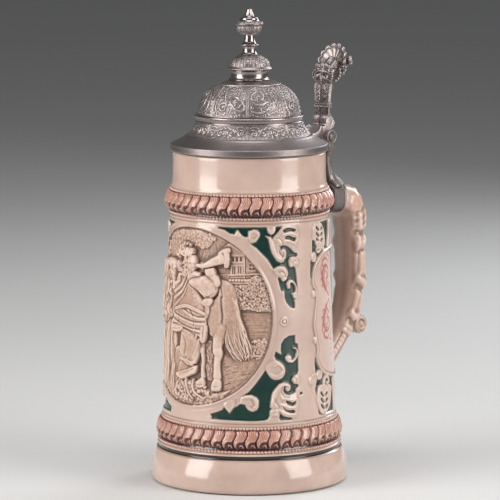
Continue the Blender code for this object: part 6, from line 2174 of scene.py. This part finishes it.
def post_detail(p, normal):
    """Cornices, twin columns, acanthus panel."""
    x, y, z = p.T
    side = np.abs(y)
    flank = smooth01((np.abs(normal[:, 1]) - 0.6) / 0.2)
    face = smooth01((np.abs(normal[:, 0]) - 0.55) / 0.25)
    column = smooth01((z - 229.9) / 0.3) * smooth01((233.7 - z) / 0.3)
    h = face * column * (0.85 * np.clip(1 - ((side - 2.6) / 1.5) ** 2, 0, 1) ** 0.5 - 0.6)
    h += flank * column * (0.35 * np.clip(1 - ((x - 67.3) / 1.0) ** 2, 0, 1) ** 0.5 - 0.2)
    for centre in (229.1, 235.3):
        h += 0.18 * np.cos(y * 4.2) * bell(z, centre, 0.5) * face
    h += (0.22 * bell(z, 234.4, 0.25) + 0.22 * bell(z, 236.3, 0.25)
          - 0.15 * bell(z, 235.3, 0.2))
    # raised frame, leaf with paired lobes
    panel = smooth01((z - 237.6) / 0.5) * smooth01((249.2 - z) / 0.5)
    half = np.interp(z, [237, 243, 249.4], [6.3, 6.6, 7.2])
    h += panel * face * 0.22 * bell(half - side, 0.5, 0.3)
    s = (z - 238.0) / 11.0
    lobes = (5.0 * (0.55 + 0.45 * np.abs(np.sin(s * math.pi * 2.6)))
             * np.clip(1.12 - np.abs(s - 0.55) * 0.9, 0.2, 1))
    leaf_h = np.clip(1 - (side / np.maximum(lobes, 0.3)) ** 2, 0, 1) ** 0.5
    veins = np.sin((z - side * 0.9) * 3.4) * 0.5 + 0.5
    h += panel * face * (0.95 * leaf_h - 0.5 * bell(y, 0, 0.4) * (leaf_h > 0)
                         - 0.30 * veins * (leaf_h > 0.1))
    for centre in (240.6, 246.2):
        rad = np.hypot((side - 3.3) / 1.4, (z - centre) / 1.4)
        h += panel * face * 0.8 * np.clip(1 - rad ** 2, 0, 1) ** 0.5
    return h + flank * panel * (0.25 * bell(x - np.interp(z, [237, 250], [67.8, 68.5]), 0, 0.6)
                                - 0.1)


def fan(bm, base, up, side, reach, spread_deg, ribs, dish, high, thick, curl_h, rows, per,
        scallop, roll):
    """Ribbed leaf or shell: lobes spreading from one point, closed all round.

    up and side span its plane, spread_deg is the half angle, per the steps
    per rib.  dish, high, roll and curl_h raise the bowl, ribs, rim and lip.
    """
    base, up, side = (np.asarray(v, float) for v in (base, up, side))
    up = up / np.linalg.norm(up)
    side = side - side.dot(up) * up
    side = side / np.linalg.norm(side)
    normal = np.cross(side, up)
    normal = normal * (1.0 if normal[0] < 0 else -1.0)      # the face looks over the lid
    cols = ribs * per + 1
    angle = np.radians(np.linspace(-spread_deg, spread_deg, cols))
    rib = np.abs(np.sin(math.pi * np.linspace(0, ribs, cols))) ** 0.65
    front, back = [], []
    for i in range(rows):
        rad = i / (rows - 1)
        lip = max(0.0, (rad - 0.86) / 0.14) ** 2
        span = reach * rad * (1 + scallop * (rib - 0.5) * rad ** 4)
        a, b = np.sin(angle) * span, np.cos(angle) * span + 0.05 * reach
        h = (dish * rad ** 2.2 + high * rib * (0.34 * rad + 0.36 * rad ** 5)
             + roll * math.exp(-((rad - 0.90) / 0.075) ** 2) + curl_h * lip)
        pts = base + b[:, None] * up + a[:, None] * side + h[:, None] * normal
        front.append(pts)
        taper = (1.0 + 0.5 * (1 - rad)) * (1 - 0.35 * max(0.0, (rad - 0.9) / 0.1))
        back.append(pts - normal * thick * taper)
    F, B = ([[bm.verts.new(Vector(p) * MM) for p in row] for row in face]
            for face in (front, back))
    for i in range(rows - 1):
        for j in range(cols - 1):
            bm.faces.new((F[i][j], F[i][j + 1], F[i + 1][j + 1], F[i + 1][j]))
            bm.faces.new((B[i][j], B[i + 1][j], B[i + 1][j + 1], B[i][j + 1]))
    for j in range(cols - 1):
        bm.faces.new((F[-1][j], F[-1][j + 1], B[-1][j + 1], B[-1][j]))
        bm.faces.new((F[0][j], B[0][j], B[0][j + 1], F[0][j + 1]))
    for i in range(rows - 1):
        bm.faces.new((F[i][0], F[i + 1][0], B[i + 1][0], B[i][0]))
        bm.faces.new((F[i][-1], B[i][-1], B[i + 1][-1], F[i + 1][-1]))


def flower(bm, x, y, z, r, petals):
    for j in range(petals):
        a = math.tau * j / petals
        lump(bm, x, y + r * 0.62 * math.cos(a), z + r * 0.62 * math.sin(a),
             0.75, r * 0.40, r * 0.40, seg=12)
    lump(bm, x - 0.55, y, z, 0.8, r * 0.36, r * 0.36, seg=12)


def build_shell():
    """Scallop shell above a cluster of leaves and rosettes."""
    bm = bmesh.new()
    # core that ties the cluster to the post
    tube(bm, "68.4,0,250.3 69,0,254.5 71.2,0,259 75.4,0,263.2", [3.3, 3.8, 4.2, 3.4], 20)
    for s in (-1, 1):
        tube(bm, points("68.4,4.2,250.4 68.8,4.6,254 70.6,5,258.6 74.4,4.6,262.6") * (1, s, 1),
             [2.3, 2.7, 2.9, 2.2], 16)
    # great shell
    fan(bm, (77.0, 0, 262.0), (0.36, 0, 0.93), (0, 1, 0), reach=11.7, spread_deg=98, ribs=8,
        dish=1.9, high=1.35, thick=1.6, curl_h=-0.3, rows=44, per=15, scallop=0.17, roll=0.55)
    for s in (-1, 1):
        # fluted wings under the shell, with rolled tips
        fan(bm, (76.2, s * 2.4, 260.6), (0.28, s * 0.93, 0.33), (0.2, 0, 1), reach=12.0,
            spread_deg=15, ribs=4, dish=0.3, high=0.6, thick=1.6, curl_h=-0.4, rows=26, per=9,
            scallop=0.06, roll=0.25)
        tube(bm, points("78.6,12.2,263.4 79,13.2,264.6 79.4,12.6,265.8") * (1, s, 1),
             [0.9, 1.2, 0.9], 10)
        # leaves lower down each flank
        fan(bm, (74.0, s * 3.2, 260.2), (0.50, s * 0.86, -0.16), (0.25, 0, 1), reach=8.2,
            spread_deg=34, ribs=4, dish=0.5, high=0.8, thick=1.5, curl_h=-0.4, rows=20, per=9,
            scallop=0.10, roll=0.5)
        fan(bm, (71.0, s * 3.6, 256.2), (0.42, s * 0.86, -0.30), (0.3, 0, 1), reach=6.6,
            spread_deg=50, ribs=5, dish=0.4, high=0.8, thick=1.5, curl_h=-0.4, rows=20, per=9,
            scallop=0.12, roll=0.6)
        fan(bm, (68.6, s * 4.2, 254.6), (-0.22, s * 0.94, 0.1), (0.1, 0, 1), reach=4.7,
            spread_deg=46, ribs=4, dish=0.3, high=0.8, thick=1.3, curl_h=-0.3, rows=16, per=9,
            scallop=0.12, roll=0.5)
        # rolled bands across the face towards the lid
        tube(bm, points("69,7,254.2 66.6,5.2,256.2 65.4,2.6,257.4 65.2,0,257.8") * (1, s, 1),
             [0.8, 1.0, 1.0, 1.0], 12)
        tube(bm, points("67.4,6.4,251.2 65.9,4.4,252.4 65.4,2.2,254 65.8,0.7,255.6") * (1, s, 1),
             [0.8, 0.95, 0.85, 0.6], 10)
        flower(bm, 68.3, s * 4.4, 259.9, 1.9, 6)
        flower(bm, 70.2, s * 7.9, 260.2, 1.7, 6)
        flower(bm, 70.0, s * 2.4, 262.8, 1.4, 5)
    flower(bm, 67.2, 0, 260.6, 2.3, 7)
    bmesh.ops.recalc_face_normals(bm, faces=bm.faces)
    name = "thumblift_shell_cast"
    me = bpy.data.meshes.new(name)
    bm.to_mesh(me)
    bm.free()
    return cast(soften(link_new(name, me), 0.22, 1), CAST,
                lambda p, normal: 0.05 * (vnoise(p[:, 0] * 1.6, p[:, 2] * 1.6 + p[:, 1], 5) - 0.5),
                8, 0.55)


def build_hinge():
    """Yields each piece with its body, the CAD node it replaces and its slot."""
    yield build_collar(), "root", "handle_collar", "pewter_plain"
    yield build_shank(), "root", "hinge_shank", "pewter_plain"
    yield build_pin_cap("pin_cap_left_turned", 1), "root", "pin_cap_left", "pewter_polished"
    yield build_pin_cap("pin_cap_right_turned", -1), "root", "pin_cap_right", "pewter_polished"
    tongue = soften(copy_of("lid_tongue", "lid_tongue_cast"), 0.24, 2)
    yield cast(tongue, PEWTER_LIT, tongue_detail), "lid", "lid_tongue", "pewter_plain"
    post = soften(copy_of("thumblift_post", "thumblift_post_cast"), 0.2, 1)
    yield cast(post, CAST, post_detail, 10, 0.32), "lid", "thumblift_post", "pewter_embossed"
    yield build_shell(), "lid", "thumblift_shell", "pewter_embossed"


# ------------------------------------------------------------------- assembly
def place(ob, body, node, slot):
    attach(ob, body)
    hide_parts(node)


place(build_mug(), "root", "mug_body", "relief_stoneware")
place(build_handle(), "root", "handle", "handle_stoneware")
place(build_volute(), "root", "handle", "handle_stoneware")
for ob, node, slot in [*build_lid(), *build_finial()]:
    place(ob, "lid", node, slot)
for piece in list(build_hinge()):
    place(*piece)
for node, mat in (("hinge_pin", BRIGHT), ("finial_stud", SATIN), ("finial_nut", SATIN)):
    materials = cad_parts[node].data.materials
    materials.clear()
    materials.append(mat)


# ---------------------------------------------------- stage, all in metres
def build_floor():
    half, cells, drop = 6, 24, 0.0004
    me = bpy.data.meshes.new("floor")
    bm = bmesh.new()
    rows = [[bm.verts.new((-half + 2 * half * j / cells, -half + 2 * half * (i / cells), -drop))
             for j in range(cells + 1)] for i in range(cells + 1)]
    for i in range(cells):
        for j in range(cells):
            bm.faces.new((rows[i][j], rows[i][j + 1], rows[i + 1][j + 1], rows[i + 1][j]))
    bm.to_mesh(me)
    bm.free()
    floor = link_new("floor", me)
    paper = Nodes("paper_floor")
    color = paper.mix(paper.noise(scale=3, detail=3, rough=0.5),
                      (0.60, 0.60, 0.595), (0.64, 0.64, 0.635))
    me.materials.append(paper.set(Base_Color=color, Roughness=0.75))


VIEW = Vector((-0.70711, -0.70711, 0.0))          # towards the viewer
RIGHT = Vector((0.70711, -0.70711, 0.0))
AIM = Vector((0.0, 0.0, 0.15))


def area(name, right, front, up, width, height, power, color=(1, 1, 1)):
    """Area light aimed at the mug, placed as the viewer sees it."""
    data = bpy.data.lights.new(name, "AREA")
    data.shape = "RECTANGLE"
    data.size, data.size_y = width, height
    data.energy = power
    data.color = color
    ob = link_new(name, data)
    flat = RIGHT * right + VIEW * front
    ob.location = (flat.x, flat.y, up)
    ob.rotation_euler = (AIM - Vector((flat.x, flat.y, up))).to_track_quat("-Z", "Y").to_euler()


build_floor()

world = bpy.data.worlds.new("studio")
bpy.context.scene.world = world
world.use_nodes = True
background = world.node_tree.nodes["Background"]
background.inputs["Color"].default_value = (0.72, 0.73, 0.75, 1)
background.inputs["Strength"].default_value = 0.17

WARM, COOL = (1.0, 0.97, 0.94), (0.95, 0.97, 1.0)
area("key_left", right=-1.16, front=0.58, up=0.60, width=0.78, height=1.15, power=19.0,
     color=WARM)
area("key_right", right=1.14, front=0.60, up=0.60, width=0.74, height=1.15, power=16.0,
     color=WARM)
area("top", right=0.0, front=0.15, up=1.25, width=0.7, height=0.7, power=6.0)
area("rim_back", right=0.75, front=-0.95, up=0.75, width=0.5, height=0.8, power=7.0, color=COOL)

# plain colour reproduction, so glazes keep their depth
bpy.context.scene.view_settings.view_transform = "Standard"

CAMERA_TILT = 7.846            # degrees below level
camera = bpy.data.cameras.new("camera")
camera.lens = 250.24
camera.sensor_width = 36.0
camera.shift_x = 0.0014
camera.clip_end = 50
camera_ob = link_new("camera", camera)
camera_ob.location = (-1.55563, -1.55563, 0.450)
look = Vector((0.70711, 0.70711, -math.tan(math.radians(CAMERA_TILT))))
camera_ob.rotation_euler = look.to_track_quat("-Z", "Y").to_euler()
bpy.context.scene.camera = camera_ob
